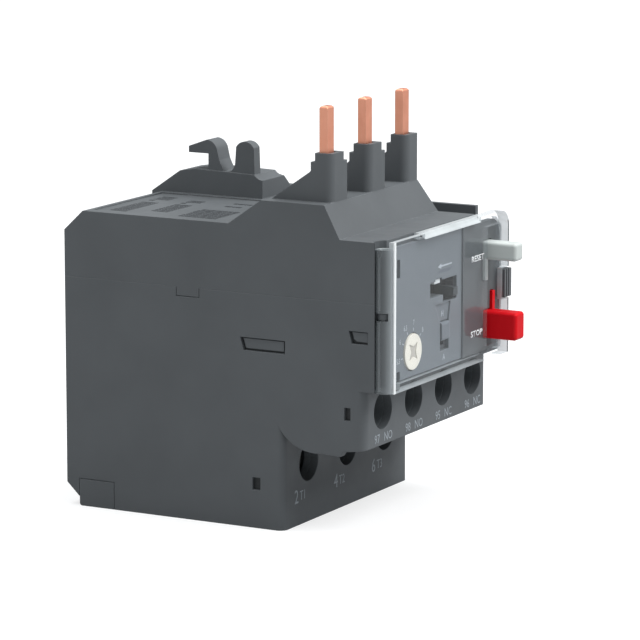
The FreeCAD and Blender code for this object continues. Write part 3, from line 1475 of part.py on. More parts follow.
def push_button(label, left, width, bottom, height, reach, fin):
    """Mould a push button: rounded cap, guide fin, retaining flange and spring rod. A fin is (left, low, high)."""
    body = new_body(label)
    middle = "%s + %s / 2" % (left, width)
    axis = "%s + %s / 2" % (bottom, height)
    tip = "front_face - " + reach
    box_solid("Pad", body, (left, "%s + %s" % (left, width)), (tip, "flange_front"),
              (bottom, "%s + %s" % (bottom, height)))
    sides = [(left, bottom), (left, "%s + %s" % (bottom, height)),
             ("%s + %s" % (left, width), bottom), ("%s + %s" % (left, width), "%s + %s" % (bottom, height))]
    groups = [("X", {"y": tip}), ("Z", {"y": tip})]
    groups += [("Y", {"x": x, "z": z}) for x, z in sides]
    blend("Fillet", body, groups, "button_round")
    box_solid("Pad", body, (fin[0], fin[0] + " + fin_width"), ("front_face - fin_reach", "front_face - 2 * snap_gap"),
              fin[1:])
    box_solid("Pad", body, span(middle, "%s + 2 * flange_margin" % width), ("flange_front", "flange_back"),
              span(axis, "%s - 2 * button_round" % height))
    round_solid("Pad", body, "Y", "flange_back", "rod_end", [(middle, axis)], "rod_radius")
    return body


def push_spring(label, middle, axis):
    """Wind the return spring between a button's flange and its guide rib."""
    front = number("flange_back")
    wire = number("spring_wire") / 2
    radius = number("spring_radius")
    gap = number("pin_fit")
    length = number("rib_front") - front - 2 * wire - 2 * gap
    steps = int(number("spring_turns") * SPRING_SIDES)
    path = []
    for step in range(steps + 1):
        angle = 2 * math.pi * step / SPRING_SIDES
        path.append(FreeCAD.Vector(radius * math.cos(angle), radius * math.sin(angle), length * step / steps))
    ring = []
    for side in range(WIRE_SIDES + 1):
        angle = 2 * math.pi * side / WIRE_SIDES
        ring.append(FreeCAD.Vector(radius + wire * math.cos(angle), 0, wire * math.sin(angle)))
    coil = Part.makePolygon(path).makePipeShell([Part.makePolygon(ring)], True, False, 1)
    item = document.addObject("Part::Feature", label)
    item.Shape = coil
    base = FreeCAD.Vector(number(middle), front + wire + gap, number(axis))
    item.Placement = FreeCAD.Placement(base, FreeCAD.Rotation(AXES["X"], -90))
    item.Label = label
    nodes.append(item)


def test_lever():
    """Mould the test lever: a tapered tab on a slider plate behind the front wall."""
    body = new_body("test_lever")
    tab = [
        ("flange_front", "lever_bottom"),
        ("front_face - lever_reach", "lever_bottom + lever_taper"),
        ("front_face - lever_reach", "lever_top - lever_top_taper"),
        ("flange_front", "lever_top"),
    ]
    outline_solid("Pad", body, "X", "lever_left", "lever_right", tab)
    box_solid("Pad", body, ("lever_left", "lever_right + lever_plate_lap"),
              ("flange_front", "flange_front + lever_plate_thick"),
              ("lever_bottom - lever_plate_foot", "lever_top + lever_plate_head"))
    return body


def reset_selector():
    """Mould the manual/automatic reset selector: a knob in the fascia with a stem and keeper."""
    body = new_body("reset_selector")
    box_solid("Pad", body, ("selector_left", "selector_left + selector_width"),
              ("front_face - selector_reach", "front_face - snap_gap"),
              ("selector_bottom", "selector_bottom + selector_height"))
    blend("Fillet", body, [("X", {"y": "front_face - selector_reach", "z": "selector_bottom"}),
                           ("X", {"y": "front_face - selector_reach", "z": "selector_bottom + selector_height"})],
          "soft_edge")
    box_solid("Pad", body, span("selector_middle", "selector_stem"), ("front_face - snap_gap", "flange_back"),
              span("selector_axis", "selector_stem"))
    box_solid("Pad", body, span("selector_middle", "selector_stem + 2 * flange_margin"),
              ("flange_front", "flange_back"), span("selector_axis", "selector_stem + 2 * flange_margin"))
    return body


# ---- assembly --------------------------------------------------------------------------------------


def check_and_write():
    """Stop on any failed feature or bad shape, then write every node's STEP file."""
    document.recompute()
    failed = [item.Name for item in document.Objects if {"Invalid", "Error"} & set(item.State)]
    if failed:
        raise RuntimeError("failed features: " + ", ".join(failed))
    for item in nodes:
        if item.Shape.isNull() or not item.Shape.isValid():
            raise RuntimeError("bad shape: " + item.Label)
    os.makedirs("parts", exist_ok=True)
    for item in nodes:
        item.Shape.exportStep("parts/%s.step" % item.Label)
        print("%-22s %6d solids %9.1f mm3" % (item.Label, len(item.Shape.Solids), item.Shape.Volume))


sheet = fill_sheet()
lower_housing()
pole_frame()
power_terminal_frame()
control_terminal_frame()
upper_housing()
base_cover()
fascia()
clear_cover()
cover_hinge_pin()
cover_latch()
power_path()
control_path()
contact_carrier()
trip_mechanism()
setting_dial()
push_button("stop_button", "stop_left", "stop_width", "stop_bottom", "stop_height", "stop_reach",
            ("stop_right - fin_width", "stop_top - fin_root", "stop_top + stop_fin_height"))
push_button("reset_button", "reset_left", "reset_width", "reset_bottom", "reset_height", "reset_reach",
            ("reset_left", "reset_bottom - reset_fin_height", "reset_bottom + fin_root"))
push_spring("stop_spring", "stop_middle", "stop_axis")
push_spring("reset_spring", "reset_middle", "reset_axis")
test_lever()
reset_selector()
check_and_write()
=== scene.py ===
"""Finishes, printed marks and studio for a three-pole thermal overload relay.

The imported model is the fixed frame: metres, +X to the right, +Y to the mounting back, +Z up.
"""
import logging
import math
from dataclasses import dataclass
from enum import Enum
from itertools import cycle
from typing import Sequence

import bmesh
import bpy
from mathutils import Matrix, Vector


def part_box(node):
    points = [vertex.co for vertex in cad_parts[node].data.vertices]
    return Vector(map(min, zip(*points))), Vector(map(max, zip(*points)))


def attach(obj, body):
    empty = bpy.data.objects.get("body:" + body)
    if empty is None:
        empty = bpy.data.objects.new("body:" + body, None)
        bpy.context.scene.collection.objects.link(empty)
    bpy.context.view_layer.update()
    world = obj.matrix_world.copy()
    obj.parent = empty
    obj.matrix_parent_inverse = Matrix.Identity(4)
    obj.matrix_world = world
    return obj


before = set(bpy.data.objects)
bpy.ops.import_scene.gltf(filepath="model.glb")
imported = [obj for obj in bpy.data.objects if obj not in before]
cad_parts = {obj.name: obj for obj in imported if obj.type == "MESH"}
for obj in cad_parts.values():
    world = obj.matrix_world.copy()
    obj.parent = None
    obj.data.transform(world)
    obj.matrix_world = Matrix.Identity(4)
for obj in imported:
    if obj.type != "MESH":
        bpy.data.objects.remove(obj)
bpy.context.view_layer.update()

logging.basicConfig(level=logging.INFO, format="%(message)s")
log = logging.getLogger("relay")

MM = 0.001
INK_THICK = 0.04 * MM
WHITE = (1.0, 1.0, 1.0, 1.0)
POLES = (1, 2, 3)
CONTROLS = ((97, "NO"), (98, "NO"), (95, "NC"), (96, "NC"))
Colour = tuple[int, int, int]
Outline = Sequence[tuple[float, float]]
Socket = bpy.types.NodeSocket


def linear(colour: Colour) -> tuple[float, float, float, float]:
    """Turn a display colour of 0 to 255 into the linear RGBA that shaders take.

    Args:
        colour: red, green and blue as shown on a display.

    Returns:
        Linear red, green, blue and an alpha of 1.
    """
    parts = [part / 255 for part in colour]
    return tuple(p / 12.92 if p <= 0.04045 else ((p + 0.055) / 1.055) ** 2.4 for p in parts) + (1.0,)


def toned(colour: Sequence[float], gain: float, lift: float = 0.0) -> tuple[float, ...]:
    """Make a linear colour lighter or darker.

    Args:
        colour: the linear colour, alpha included.
        gain: factor on red, green and blue.
        lift: amount added to them.

    Returns:
        The new linear colour, no part above 1 and with an alpha of 1.
    """
    return tuple(min(1.0, part * gain + lift) for part in colour[:3]) + (1.0,)


# ---- shader graphs ---------------------------------------------------------------------------------


class Graph:
    """One material's node tree, with short calls to add and join its nodes."""

    STEP_HALF = 0.00001
    EDGE_SAMPLES = 6
    EDGE_BAND = (0.80, 0.995)

    def __init__(self, name: str) -> None:
        """Start an empty node tree.

        Args:
            name: the material's name.
        """
        self.material = bpy.data.materials.new(name)
        self.material.use_nodes = True
        self.tree = self.material.node_tree
        self.tree.nodes.clear()
        self.output = self.tree.nodes.new("ShaderNodeOutputMaterial")

    def add(self, kind: str, inputs: dict | None = None, **settings: object) -> bpy.types.Node:
        """Add a node, set its properties and fill or join its inputs.

        Args:
            kind: node type without its ShaderNode prefix.
            inputs: socket name or number to a plain value or to another node's output.
            **settings: properties of the node itself.

        Returns:
            The new node.
        """
        node = self.tree.nodes.new("ShaderNode" + kind)
        for key, value in settings.items():
            setattr(node, key, value)
        for key, value in (inputs or {}).items():
            if isinstance(value, Socket):
                self.tree.links.new(value, node.inputs[key])
            else:
                node.inputs[key].default_value = value
        return node

    def place(self) -> Socket:
        """Return the object coordinates, in metres."""
        return self.add("TexCoord").outputs["Object"]

    def stretched(self, scale: tuple[float, float, float]) -> Socket:
        """Return object coordinates scaled on each axis.

        Args:
            scale: factor along X, Y and Z.

        Returns:
            The scaled coordinates.
        """
        return self.add("Mapping", {"Vector": self.place(), "Scale": scale}).outputs["Vector"]

    def noise(self, size: float, detail: float = 3.0, where: Socket | None = None) -> Socket:
        """Return a noise pattern whose blotches are about one size across.

        Args:
            size: blotch size in metres, or in units of where.
            detail: octaves of finer noise.
            where: coordinates to read, object coordinates if not given.

        Returns:
            The pattern, about 0 to 1.
        """
        vector = self.place() if where is None else where
        return self.add("TexNoise", {"Vector": vector, "Scale": 1 / size, "Detail": detail}).outputs["Fac"]

    def ranged(self, value: Socket, low: float, high: float,
               start: float = 0.3, end: float = 0.7) -> Socket:
        """Map a pattern from start..end to low..high.

        Args:
            value: the pattern.
            low: result at start.
            high: result at end.
            start: pattern value that gives low.
            end: pattern value that gives high.

        Returns:
            The mapped value.
        """
        return self.add("MapRange", {"Value": value, "From Min": start, "From Max": end,
                                     "To Min": low, "To Max": high}).outputs["Result"]

    def step(self, value: Socket, edge: float, above: bool) -> Socket:
        """Return 1 on one side of an edge and 0 on the other.

        Args:
            value: the value that is compared, in metres.
            edge: where it changes.
            above: whether the 1 is above the edge.

        Returns:
            The mask.
        """
        low, high = (0.0, 1.0) if above else (1.0, 0.0)
        return self.ranged(value, low, high, edge - self.STEP_HALF, edge + self.STEP_HALF)

    def blended(self, factor: object, first: object, second: object) -> Socket:
        """Mix two plain values.

        Args:
            factor: share of the second value.
            first: a socket or a number.
            second: a socket or a number.

        Returns:
            The mixed value.
        """
        return self.add("Mix", {0: factor, 2: first, 3: second}, data_type="FLOAT").outputs[0]

    def within(self, value: Socket, low: float, high: float) -> Socket:
        """Return 1 between two edges and 0 outside them.

        Args:
            value: the value that is compared, in metres.
            low: the lower edge.
            high: the upper edge.

        Returns:
            The mask.
        """
        return self.maths("MULTIPLY", self.step(value, low, True), self.step(value, high, False))

    def maths(self, operation: str, first: object, second: object = 0.0) -> Socket:
        """Combine two values.

        Args:
            operation: a Math node operation.
            first: a socket or a number.
            second: a socket or a number.

        Returns:
            The result.
        """
        return self.add("Math", {0: first, 1: second}, operation=operation).outputs[0]

    def mixed(self, factor: object, first: object, second: object) -> Socket:
        """Mix two colours.

        Args:
            factor: share of the second colour, a socket or a number.
            first: a socket or a linear colour.
            second: a socket or a linear colour.

        Returns:
            The mixed colour.
        """
        return self.add("Mix", {0: factor, 6: first, 7: second}, data_type="RGBA").outputs[2]

    def edges(self, radius: float) -> tuple[Socket, Socket]:
        """Round the shading of edges and find where they are.

        Args:
            radius: radius of the rounding, in metres.

        Returns:
            The rounded normal, and a mask that is 1 on an edge.
        """
        rounded = self.add("Bevel", {"Radius": radius}, samples=self.EDGE_SAMPLES).outputs["Normal"]
        flat = self.add("NewGeometry").outputs["Normal"]
        along = self.add("VectorMath", {0: rounded, 1: flat}, operation="DOT_PRODUCT").outputs["Value"]
        return rounded, self.ranged(along, 1.0, 0.0, *self.EDGE_BAND)

    def bumped(self, height: Socket, strength: float, depth: float,
               normal: Socket | None = None) -> Socket:
        """Turn a height pattern into a normal.

        Args:
            height: the pattern.
            strength: share of the effect.
            depth: height of a full step, in metres.
            normal: normal to start from.

        Returns:
            The bumped normal.
        """
        inputs = {"Height": height, "Strength": strength, "Distance": depth}
        if normal is not None:
            inputs["Normal"] = normal
        return self.add("Bump", inputs).outputs["Normal"]

    def surface(self, **inputs: object) -> bpy.types.Node:
        """Finish the tree with one Principled shader.

        Args:
            **inputs: socket names with underscores for spaces, to values or outputs.

        Returns:
            The shader node.
        """
        named = {key.replace("_", " "): value for key, value in inputs.items()}
        shader = self.add("BsdfPrincipled", named)
        self.tree.links.new(shader.outputs[0], self.output.inputs["Surface"])
        return shader


@dataclass(frozen=True)
class MouldedPlastic:
    """Spark-eroded moulded plastic with a fine grain, faint clouding and a painted highlight along its
    edges.
    """

    name: str
    colour: Colour
    roughness: float = 0.5
    grain_size: float = 0.00028
    grain_depth: float = 0.000012
    edge_radius: float = 0.0002
    # Share of the lighter edge colour: a painted highlight along every edge.
    edge_light: float = 0.25
    clouding: float = 0.06
    cloud_size: float = 0.012
    sheen_size: float = 0.004
    # Gain and lift that make the lighter colour of the painted edge highlight.
    edge_gain: float = 1.9
    edge_lift: float = 0.02
    specular: float = 0.4

    def build(self) -> bpy.types.Material:
        """Return the material."""
        graph = Graph(self.name)
        normal, edge = graph.edges(self.edge_radius)
        base = linear(self.colour)
        cloud = graph.ranged(graph.noise(self.cloud_size, 4.0), 0.0, 1.0)
        clouded = graph.mixed(cloud, toned(base, 1 - self.clouding), toned(base, 1 + self.clouding))
        # Paint a lighter copy of the colour along the edges: a painted highlight.
        rubbed = toned(base, self.edge_gain, self.edge_lift)
        worn = graph.mixed(graph.maths("MULTIPLY", edge, self.edge_light), clouded, rubbed)
        grain = graph.noise(self.grain_size, 2.0)
        sheen = graph.ranged(graph.noise(self.sheen_size), self.roughness - 0.05, self.roughness + 0.06)
        graph.surface(Base_Color=worn, Roughness=sheen, Specular_IOR_Level=self.specular,
                      Normal=graph.bumped(grain, 0.5, self.grain_depth, normal))
        return graph.material


@dataclass(frozen=True)
class TwoTonePlate:
    """Fascia plastic in two tones that meet along an upright line, with a painted highlight along its edges.
    """

    name: str
    left: Colour
    right: Colour
    boundary: float
    soiled: Colour = (60, 64, 68)
    # Pale colour mixed in along the edges: a painted highlight.
    rubbed: Colour = (190, 196, 202)
    blur: float = 0.00004
    cloud_size: float = 0.01
    clouding: float = 0.10
    edge_light: float = 0.2
    sheen_size: float = 0.003
    grain_size: float = 0.0002
    grain_depth: float = 0.000008
    edge_radius: float = 0.00015
    roughness: float = 0.42

    def build(self) -> bpy.types.Material:
        """Return the material."""
        graph = Graph(self.name)
        normal, edge = graph.edges(self.edge_radius)
        across = graph.add("SeparateXYZ", {0: graph.place()}).outputs["X"]
        side = graph.ranged(across, 0.0, 1.0, self.boundary - self.blur, self.boundary + self.blur)
        tone = graph.mixed(side, linear(self.left), linear(self.right))
        cloud = graph.ranged(graph.noise(self.cloud_size, 4.0), 0.0, self.clouding)
        clouded = graph.mixed(cloud, tone, linear(self.soiled))
        # Lighten the edges with the pale colour: a painted highlight.
        worn = graph.mixed(graph.maths("MULTIPLY", edge, self.edge_light), clouded, linear(self.rubbed))
        grain = graph.noise(self.grain_size, 2.0)
        sheen = graph.ranged(graph.noise(self.sheen_size), self.roughness - 0.05, self.roughness + 0.05)
        graph.surface(Base_Color=worn, Specular_IOR_Level=0.4, Roughness=sheen,
                      Normal=graph.bumped(grain, 0.4, self.grain_depth, normal))
        return graph.material


@dataclass(frozen=True)
class DrawnMetal:
    """Drawn or stamped metal with fine lines along one axis, dulled in blotches, with a painted highlight
    along its edges.
    """

    name: str
    colour: Colour
    tarnish: Colour
    roughness: float = 0.35
    stretch: tuple[float, float, float] = (1.0, 1.0, 0.04)
    line_size: float = 0.00012
    line_depth: float = 0.00001
    blotch_size: float = 0.0035
    dulling: float = 0.35
    edge_light: float = 0.5
    edge_gain: float = 1.35
    edge_radius: float = 0.00018

    def build(self) -> bpy.types.Material:
        """Return the material."""
        graph = Graph(self.name)
        normal, edge = graph.edges(self.edge_radius)
        lines = graph.noise(self.line_size, 3.0, graph.stretched(self.stretch))
        clean = linear(self.colour)
        blotch = graph.ranged(graph.noise(self.blotch_size, 4.0), 0.0, self.dulling)
        dulled = graph.mixed(blotch, clean, linear(self.tarnish))
        # A lighter copy of the clean colour along the edges: a painted highlight.
        rubbed = toned(clean, self.edge_gain)
        bright = graph.mixed(graph.maths("MULTIPLY", edge, self.edge_light), dulled, rubbed)
        graph.surface(Base_Color=bright, Metallic=1.0,
                      Roughness=graph.ranged(lines, self.roughness - 0.07, self.roughness + 0.10),
                      Normal=graph.bumped(lines, 0.25, self.line_depth, normal))
        return graph.material


@dataclass(frozen=True)
class ClearPlastic:
    """Clear polycarbonate: see-through faces that mirror at a slant, hazy rims, a grey barrel with painted
    shading, a painted highlight line on the front left corner and a painted dark line on the right edge.
    """

    name: str
    tint: Colour = (252, 253, 254)
    rim: Colour = (214, 220, 222)
    # Barrel tones from dark on the outer side to light towards the face: painted shading of the round
    # barrel.
    barrel: tuple[Colour, Colour] = ((64, 69, 72), (150, 156, 159))
    # Colour of the line on the front left corner: a painted highlight.
    bright: Colour = (246, 249, 250)
    # Colour of the dark line on the right edge: painted shade on the clear wall.
    outline: Colour = (84, 90, 94)
    face_haze: float = 0.012
    rim_haze: float = 0.62
    barrel_haze: float = 0.75
    line_haze: float = 0.85
    window_haze: float = 0.25
    barrel_edge: float = -0.02062
    barrel_width: float = 0.0023
    corner: tuple[float, float] = (-0.01995, -0.02835)
    window: tuple[float, float] = (0.0134, 0.0192)
    right: float = 0.02190
    mirror: float = 0.8
    head_on: float = 0.04
    slant_power: float = 5.0
    ripple_size: float = 0.007
    ripple_depth: float = 0.0001
    cloud_size: float = 0.005
    gloss_roughness: float = 0.03
    roughness: float = 0.22

    def build(self) -> bpy.types.Material:
        """Return the material."""
        graph = Graph(self.name)
        place = graph.add("SeparateXYZ", {0: graph.place()})
        across = place.outputs["X"]
        front = graph.step(place.outputs["Y"], self.corner[1], False)
        barrel = graph.step(across, self.barrel_edge, False)
        # Mask of the front left corner line, which gets a painted highlight.
        corner = graph.maths("MULTIPLY", graph.within(across, self.barrel_edge, self.corner[0]), front)
        # Mask of the right edge's front, which gets the painted dark line.
        outline = graph.maths("MULTIPLY", graph.step(across, self.right, True), front)
        haze = graph.blended(barrel, self.haze(graph, across), self.barrel_haze)
        haze = graph.blended(graph.maths("MAXIMUM", corner, outline), haze, self.line_haze)
        # The barrel takes its painted shading.
        tone = graph.mixed(barrel, linear(self.rim), self.tube(graph, across))
        # Lay the painted highlight line on the corner and the painted dark line on the right edge.
        tone = graph.mixed(outline, graph.mixed(corner, tone, linear(self.bright)), linear(self.outline))
        polished = self.polished(graph)
        body = graph.surface(Base_Color=tone, Roughness=self.roughness)
        both = graph.add("MixShader", {0: haze, 1: polished, 2: body.outputs[0]})
        graph.tree.links.new(both.outputs[0], graph.output.inputs["Surface"])
        return graph.material

    def haze(self, graph: Graph, across: Socket) -> Socket:
        """Make the rims hazy, less so beside the window, and leave the front and back faces clear.

        Args:
            graph: the material's tree.
            across: the X coordinate.

        Returns:
            The share of the hazy body.
        """
        own = graph.add("VectorTransform", {"Vector": graph.add("NewGeometry").outputs["True Normal"]},
                        vector_type="NORMAL", convert_from="WORLD", convert_to="OBJECT").outputs[0]
        facing = graph.maths("ABSOLUTE", graph.add("SeparateXYZ", {0: own}).outputs["Y"])
        rim = graph.ranged(facing, 1.0, 0.0, 0.90, 0.98)
        haze = graph.ranged(rim, self.face_haze, self.rim_haze, 0.0, 1.0)
        beside = graph.within(across, *self.window)
        haze = graph.maths("MULTIPLY", haze, graph.ranged(beside, 1.0, self.window_haze, 0.0, 1.0))
        return graph.maths("MULTIPLY", haze, graph.ranged(graph.noise(self.cloud_size), 0.85, 1.15))

    def tube(self, graph: Graph, across: Socket) -> Socket:
        """Return the barrel's painted shading, dark on its outer side and lighter towards the face.

        Args:
            graph: the material's tree.
            across: the X coordinate.

        Returns:
            The colour.
        """
        turned = graph.ranged(across, 0.0, 1.0, self.barrel_edge - self.barrel_width, self.barrel_edge)
        return graph.mixed(turned, *(linear(end) for end in self.barrel))

    def polished(self, graph: Graph) -> Socket:
        """Return the clear shader, whose front side mirrors more at a slant.

        Args:
            graph: the material's tree.

        Returns:
            The shader.
        """
        ripple = graph.bumped(graph.noise(self.ripple_size, 2.0), 0.08, self.ripple_depth)
        slant = graph.add("LayerWeight", {"Blend": 0.5, "Normal": ripple}).outputs["Facing"]
        behind = graph.add("NewGeometry").outputs["Backfacing"]
        share = graph.maths("SUBTRACT", self.mirror, graph.maths("MULTIPLY", behind, self.mirror))
        gloss = graph.maths("ADD", self.head_on, graph.maths("POWER", slant, self.slant_power))
        clear = graph.add("BsdfTransparent", {"Color": linear(self.tint)})
        mirror = graph.add("BsdfGlossy", {"Color": WHITE, "Roughness": self.gloss_roughness,
                                          "Normal": ripple})
        return graph.add("MixShader", {0: graph.maths("MULTIPLY", gloss, share), 1: clear.outputs[0],
                                       2: mirror.outputs[0]}).outputs[0]


@dataclass(frozen=True)
class PrintedInk:
    """Pad-printed or laser-marked ink, slightly broken where it is worn."""

    name: str
    colour: Colour
    worn: Colour
    wear_size: float = 0.0006
    wear_band: tuple[float, float] = (0.45, 0.75)
    sheen_size: float = 0.0004
    roughness: float = 0.5

    def build(self) -> bpy.types.Material:
        """Return the material."""
        graph = Graph(self.name)
        wear = graph.ranged(graph.noise(self.wear_size, 4.0), 0.0, 0.5, *self.wear_band)
        sheen = graph.ranged(graph.noise(self.sheen_size), self.roughness - 0.05, self.roughness + 0.1)
        graph.surface(Base_Color=graph.mixed(wear, linear(self.colour), linear(self.worn)), Roughness=sheen)
        return graph.material


class Palette(Enum):
    """Every finish on the relay."""

    HOUSING = MouldedPlastic("housing_plastic", (88, 92, 95))
    DARK = MouldedPlastic("dark_plastic", (62, 67, 69), roughness=0.45)
    # A paler copy of the housing plastic for the frames in the wells: painted light where the wells get
    # little light.
    INNER = MouldedPlastic("inner_plastic_lit", (92, 97, 100), roughness=0.55)
    FASCIA = TwoTonePlate("fascia_plastic", (118, 124, 129), (88, 92, 94), 0.00685)
    CLEAR = ClearPlastic("clear_cover_plastic")
    RED = MouldedPlastic("stop_red", (210, 14, 26), roughness=0.42, edge_light=0.04, specular=0.12)
    PALE = MouldedPlastic("reset_grey", (192, 198, 196), roughness=0.45, edge_light=0.1, clouding=0.03)
    IVORY = MouldedPlastic("dial_ivory", (246, 240, 226), roughness=0.4, edge_light=0.05, clouding=0.03)
    # A darker copy of the dial's ivory for the driver recess floor: painted shade in a recess too shallow to
    # shade itself.
    RECESS = MouldedPlastic("dial_recess_shade", (196, 190, 180), roughness=0.5, edge_light=0.0)
    KNOB = MouldedPlastic("selector_grey", (118, 124, 130), roughness=0.45)
    FLAG = MouldedPlastic("flag_white", (225, 228, 228), roughness=0.45, clouding=0.02)
    CARRIER = MouldedPlastic("carrier_natural", (214, 205, 182), roughness=0.45, clouding=0.05)
    COPPER = DrawnMetal("drawn_copper", (255, 183, 154), (224, 142, 113), roughness=0.45)
    BRASS = DrawnMetal("contact_brass", (214, 178, 106), (150, 118, 66), roughness=0.3)
    BIMETAL = DrawnMetal("bimetal_strip", (176, 172, 166), (120, 112, 104), roughness=0.34)
    HEATER = DrawnMetal("heater_ribbon", (150, 140, 130), (96, 84, 76), roughness=0.4)
    CLAMP = DrawnMetal("plated_clamp", (196, 198, 196), (140, 140, 132), roughness=0.3)
    SCREW = DrawnMetal("plated_screw", (186, 188, 186), (120, 120, 114), roughness=0.28)
    SPRING = DrawnMetal("spring_steel", (170, 172, 174), (110, 110, 112), roughness=0.26)
    MARK = PrintedInk("mark_grey", (150, 157, 163), (112, 119, 125))
    SCALE = PrintedInk("scale_grey", (190, 196, 202), (150, 157, 163))
    # Near-black sheet for the side recess floors: painted shadow.
    SEAM = PrintedInk("shadow_sheet_dark", (34, 38, 40), (40, 44, 47))
    STAMP = PrintedInk("stamp_dark", (40, 44, 48), (60, 65, 69))
    SHADE = PrintedInk("mark_shade", (104, 110, 118), (112, 118, 126))
    WORD = PrintedInk("word_white", (238, 240, 242), (190, 194, 198))

    def material(self) -> bpy.types.Material:
        """Return the finish's material, made on first use."""
        made = bpy.data.materials.get(self.value.name)
        return made or self.value.build()


def dress(node: str, finish: Palette) -> None:
    """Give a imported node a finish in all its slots.

    Args:
        node: the node's name.
        finish: the finish.
    """
    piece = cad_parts[node]
    for slot in piece.material_slots:
        slot.material = finish.material()
    log.info("dressed %s in %s", node, finish.value.name)


# ---- new pieces ------------------------------------------------------------------------------------


def middle_of(node: str) -> Vector:
    """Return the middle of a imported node's box.

    Args:
        node: the node's name.

    Returns:
        The point, in metres.
    """
    low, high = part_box(node)
    return (Vector(low) + Vector(high)) / 2


def thicken(mesh: bmesh.types.BMesh, push: tuple[float, float, float]) -> None:
    """Give a flat mesh a thickness.

    Args:
        mesh: the flat shape.
        push: how far its second side lies from the first, on each axis.
    """
    grown = bmesh.ops.extrude_face_region(mesh, geom=mesh.faces[:])
    moved = [item for item in grown["geom"] if isinstance(item, bmesh.types.BMVert)]
    bmesh.ops.translate(mesh, verts=moved, vec=push)


def new_piece(name: str, mesh: bmesh.types.BMesh, finish: Palette, body: str) -> bpy.types.Object:
    """Turn a bmesh into a piece that rides on a body.

    Args:
        name: the piece's name.
        mesh: the shape, in the row frame; it is freed.
        finish: the piece's finish.
        body: the body it rides on.

    Returns:
        The new object.
    """
    data = bpy.data.meshes.new(name)
    bmesh.ops.recalc_face_normals(mesh, faces=mesh.faces)
    mesh.to_mesh(data)
    mesh.free()
    piece = bpy.data.objects.new(name, data)
    bpy.context.scene.collection.objects.link(piece)
    data.materials.append(finish.material())
    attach(piece, body)
    log.info("made %s", name)
    return piece


@dataclass(frozen=True)
class RecessInsert:
    """A shallow recess of the left side: a near-black floor sheet of painted shadow, and an insert that
    leaves a painted dark gap round it.
    """

    name: str
    outline: Outline
    insert: Outline = ()
    floor: float = -21.9 * MM
    skin: float = 0.02 * MM
    rise: float = 0.35 * MM

    def build(self) -> None:
        """Lay the floor, and the insert if there is one."""
        # The near-black floor sheet is painted shadow; round the insert it shows as a painted dark gap.
        self.plate("floor", self.outline, self.skin, Palette.SEAM)
        if self.insert:
            self.plate("insert", self.insert, self.rise, Palette.HOUSING)

    def plate(self, part: str, outline: Outline, high: float, finish: Palette) -> None:
        """Stand one plate on the recess floor, facing the left.

        Args:
            part: the end of the plate's name.
            outline: its corners' Y and Z, in millimetres.
            high: its thickness.
            finish: its finish.
        """
        mesh = bmesh.new()
        mesh.faces.new([mesh.verts.new((self.floor, y * MM, z * MM)) for y, z in outline])
        thicken(mesh, (-high, 0, 0))
        new_piece(f"{self.name}_{part}", mesh, finish, "root")


@dataclass(frozen=True)
class FlatMark:
    """One flat printed shape on an upright face that looks to the front."""

    name: str
    outline: Outline
    finish: Palette
    thick: float = INK_THICK

    def build(self, face: float, body: str) -> bpy.types.Object:
        """Lay the shape on the face.

        Args:
            face: the face's Y.
            body: the body it rides on.

        Returns:
            The piece.
        """
        mesh = bmesh.new()
        mesh.faces.new([mesh.verts.new((x * MM, face - 0.5 * self.thick, z * MM)) for x, z in self.outline])
        thicken(mesh, (0, self.thick, 0))
        return new_piece(self.name, mesh, self.finish, body)


@dataclass(frozen=True)
class Lettering:
    """One row of raised print on an upright face that looks to the front."""

    name: str
    words: str
    left: float
    base: float
    height: float
    finish: Palette
    narrow: float = 0.85
    bold: float = 0.0
    thick: float = INK_THICK
    weld: float = 1e-5

    def build(self, face: float, body: str) -> bpy.types.Object:
        """Cut the letters and lay them on the face.

        Args:
            face: the face's Y.
            body: the body they ride on.

        Returns:
            The piece.
        """
        curve = bpy.data.curves.new(self.name + "_curve", "FONT")
        curve.body = self.words
        curve.size = 1.0
        curve.offset = self.bold
        curve.resolution_u = 2
        holder = bpy.data.objects.new(self.name + "_holder", curve)
        bpy.context.scene.collection.objects.link(holder)
        bpy.context.view_layer.update()
        data = bpy.data.meshes.new_from_object(holder.evaluated_get(bpy.context.evaluated_depsgraph_get()))
        bpy.data.objects.remove(holder)
        bpy.data.curves.remove(curve)
        mesh = bmesh.new()
        mesh.from_mesh(data)
        bpy.data.meshes.remove(data)
        bmesh.ops.remove_doubles(mesh, verts=mesh.verts, dist=self.weld)
        top = max(vert.co.y for vert in mesh.verts)
        low = min(vert.co.x for vert in mesh.verts)
        scale = self.height / top
        bmesh.ops.translate(mesh, verts=mesh.verts, vec=(-low, 0, 0))
        bmesh.ops.scale(mesh, verts=mesh.verts, vec=(scale * self.narrow, scale, 1))
        bmesh.ops.rotate(mesh, verts=mesh.verts, matrix=Matrix.Rotation(math.pi / 2, 3, "X"))
        thicken(mesh, (0, self.thick, 0))
        bmesh.ops.translate(mesh, verts=mesh.verts, vec=(self.left, face - 0.5 * self.thick, self.base))
        return new_piece(self.name, mesh, self.finish, body)


@dataclass(frozen=True)
class Fronts:
    """The Y of the relay's upright front faces."""

    control: float
    lower: float
    fascia: float
    cover: float


FRONTS = Fronts(control=-24.2 * MM, lower=-8.96 * MM, fascia=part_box("fascia")[0].y + 0.3 * MM,
                cover=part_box("clear_cover")[0].y)


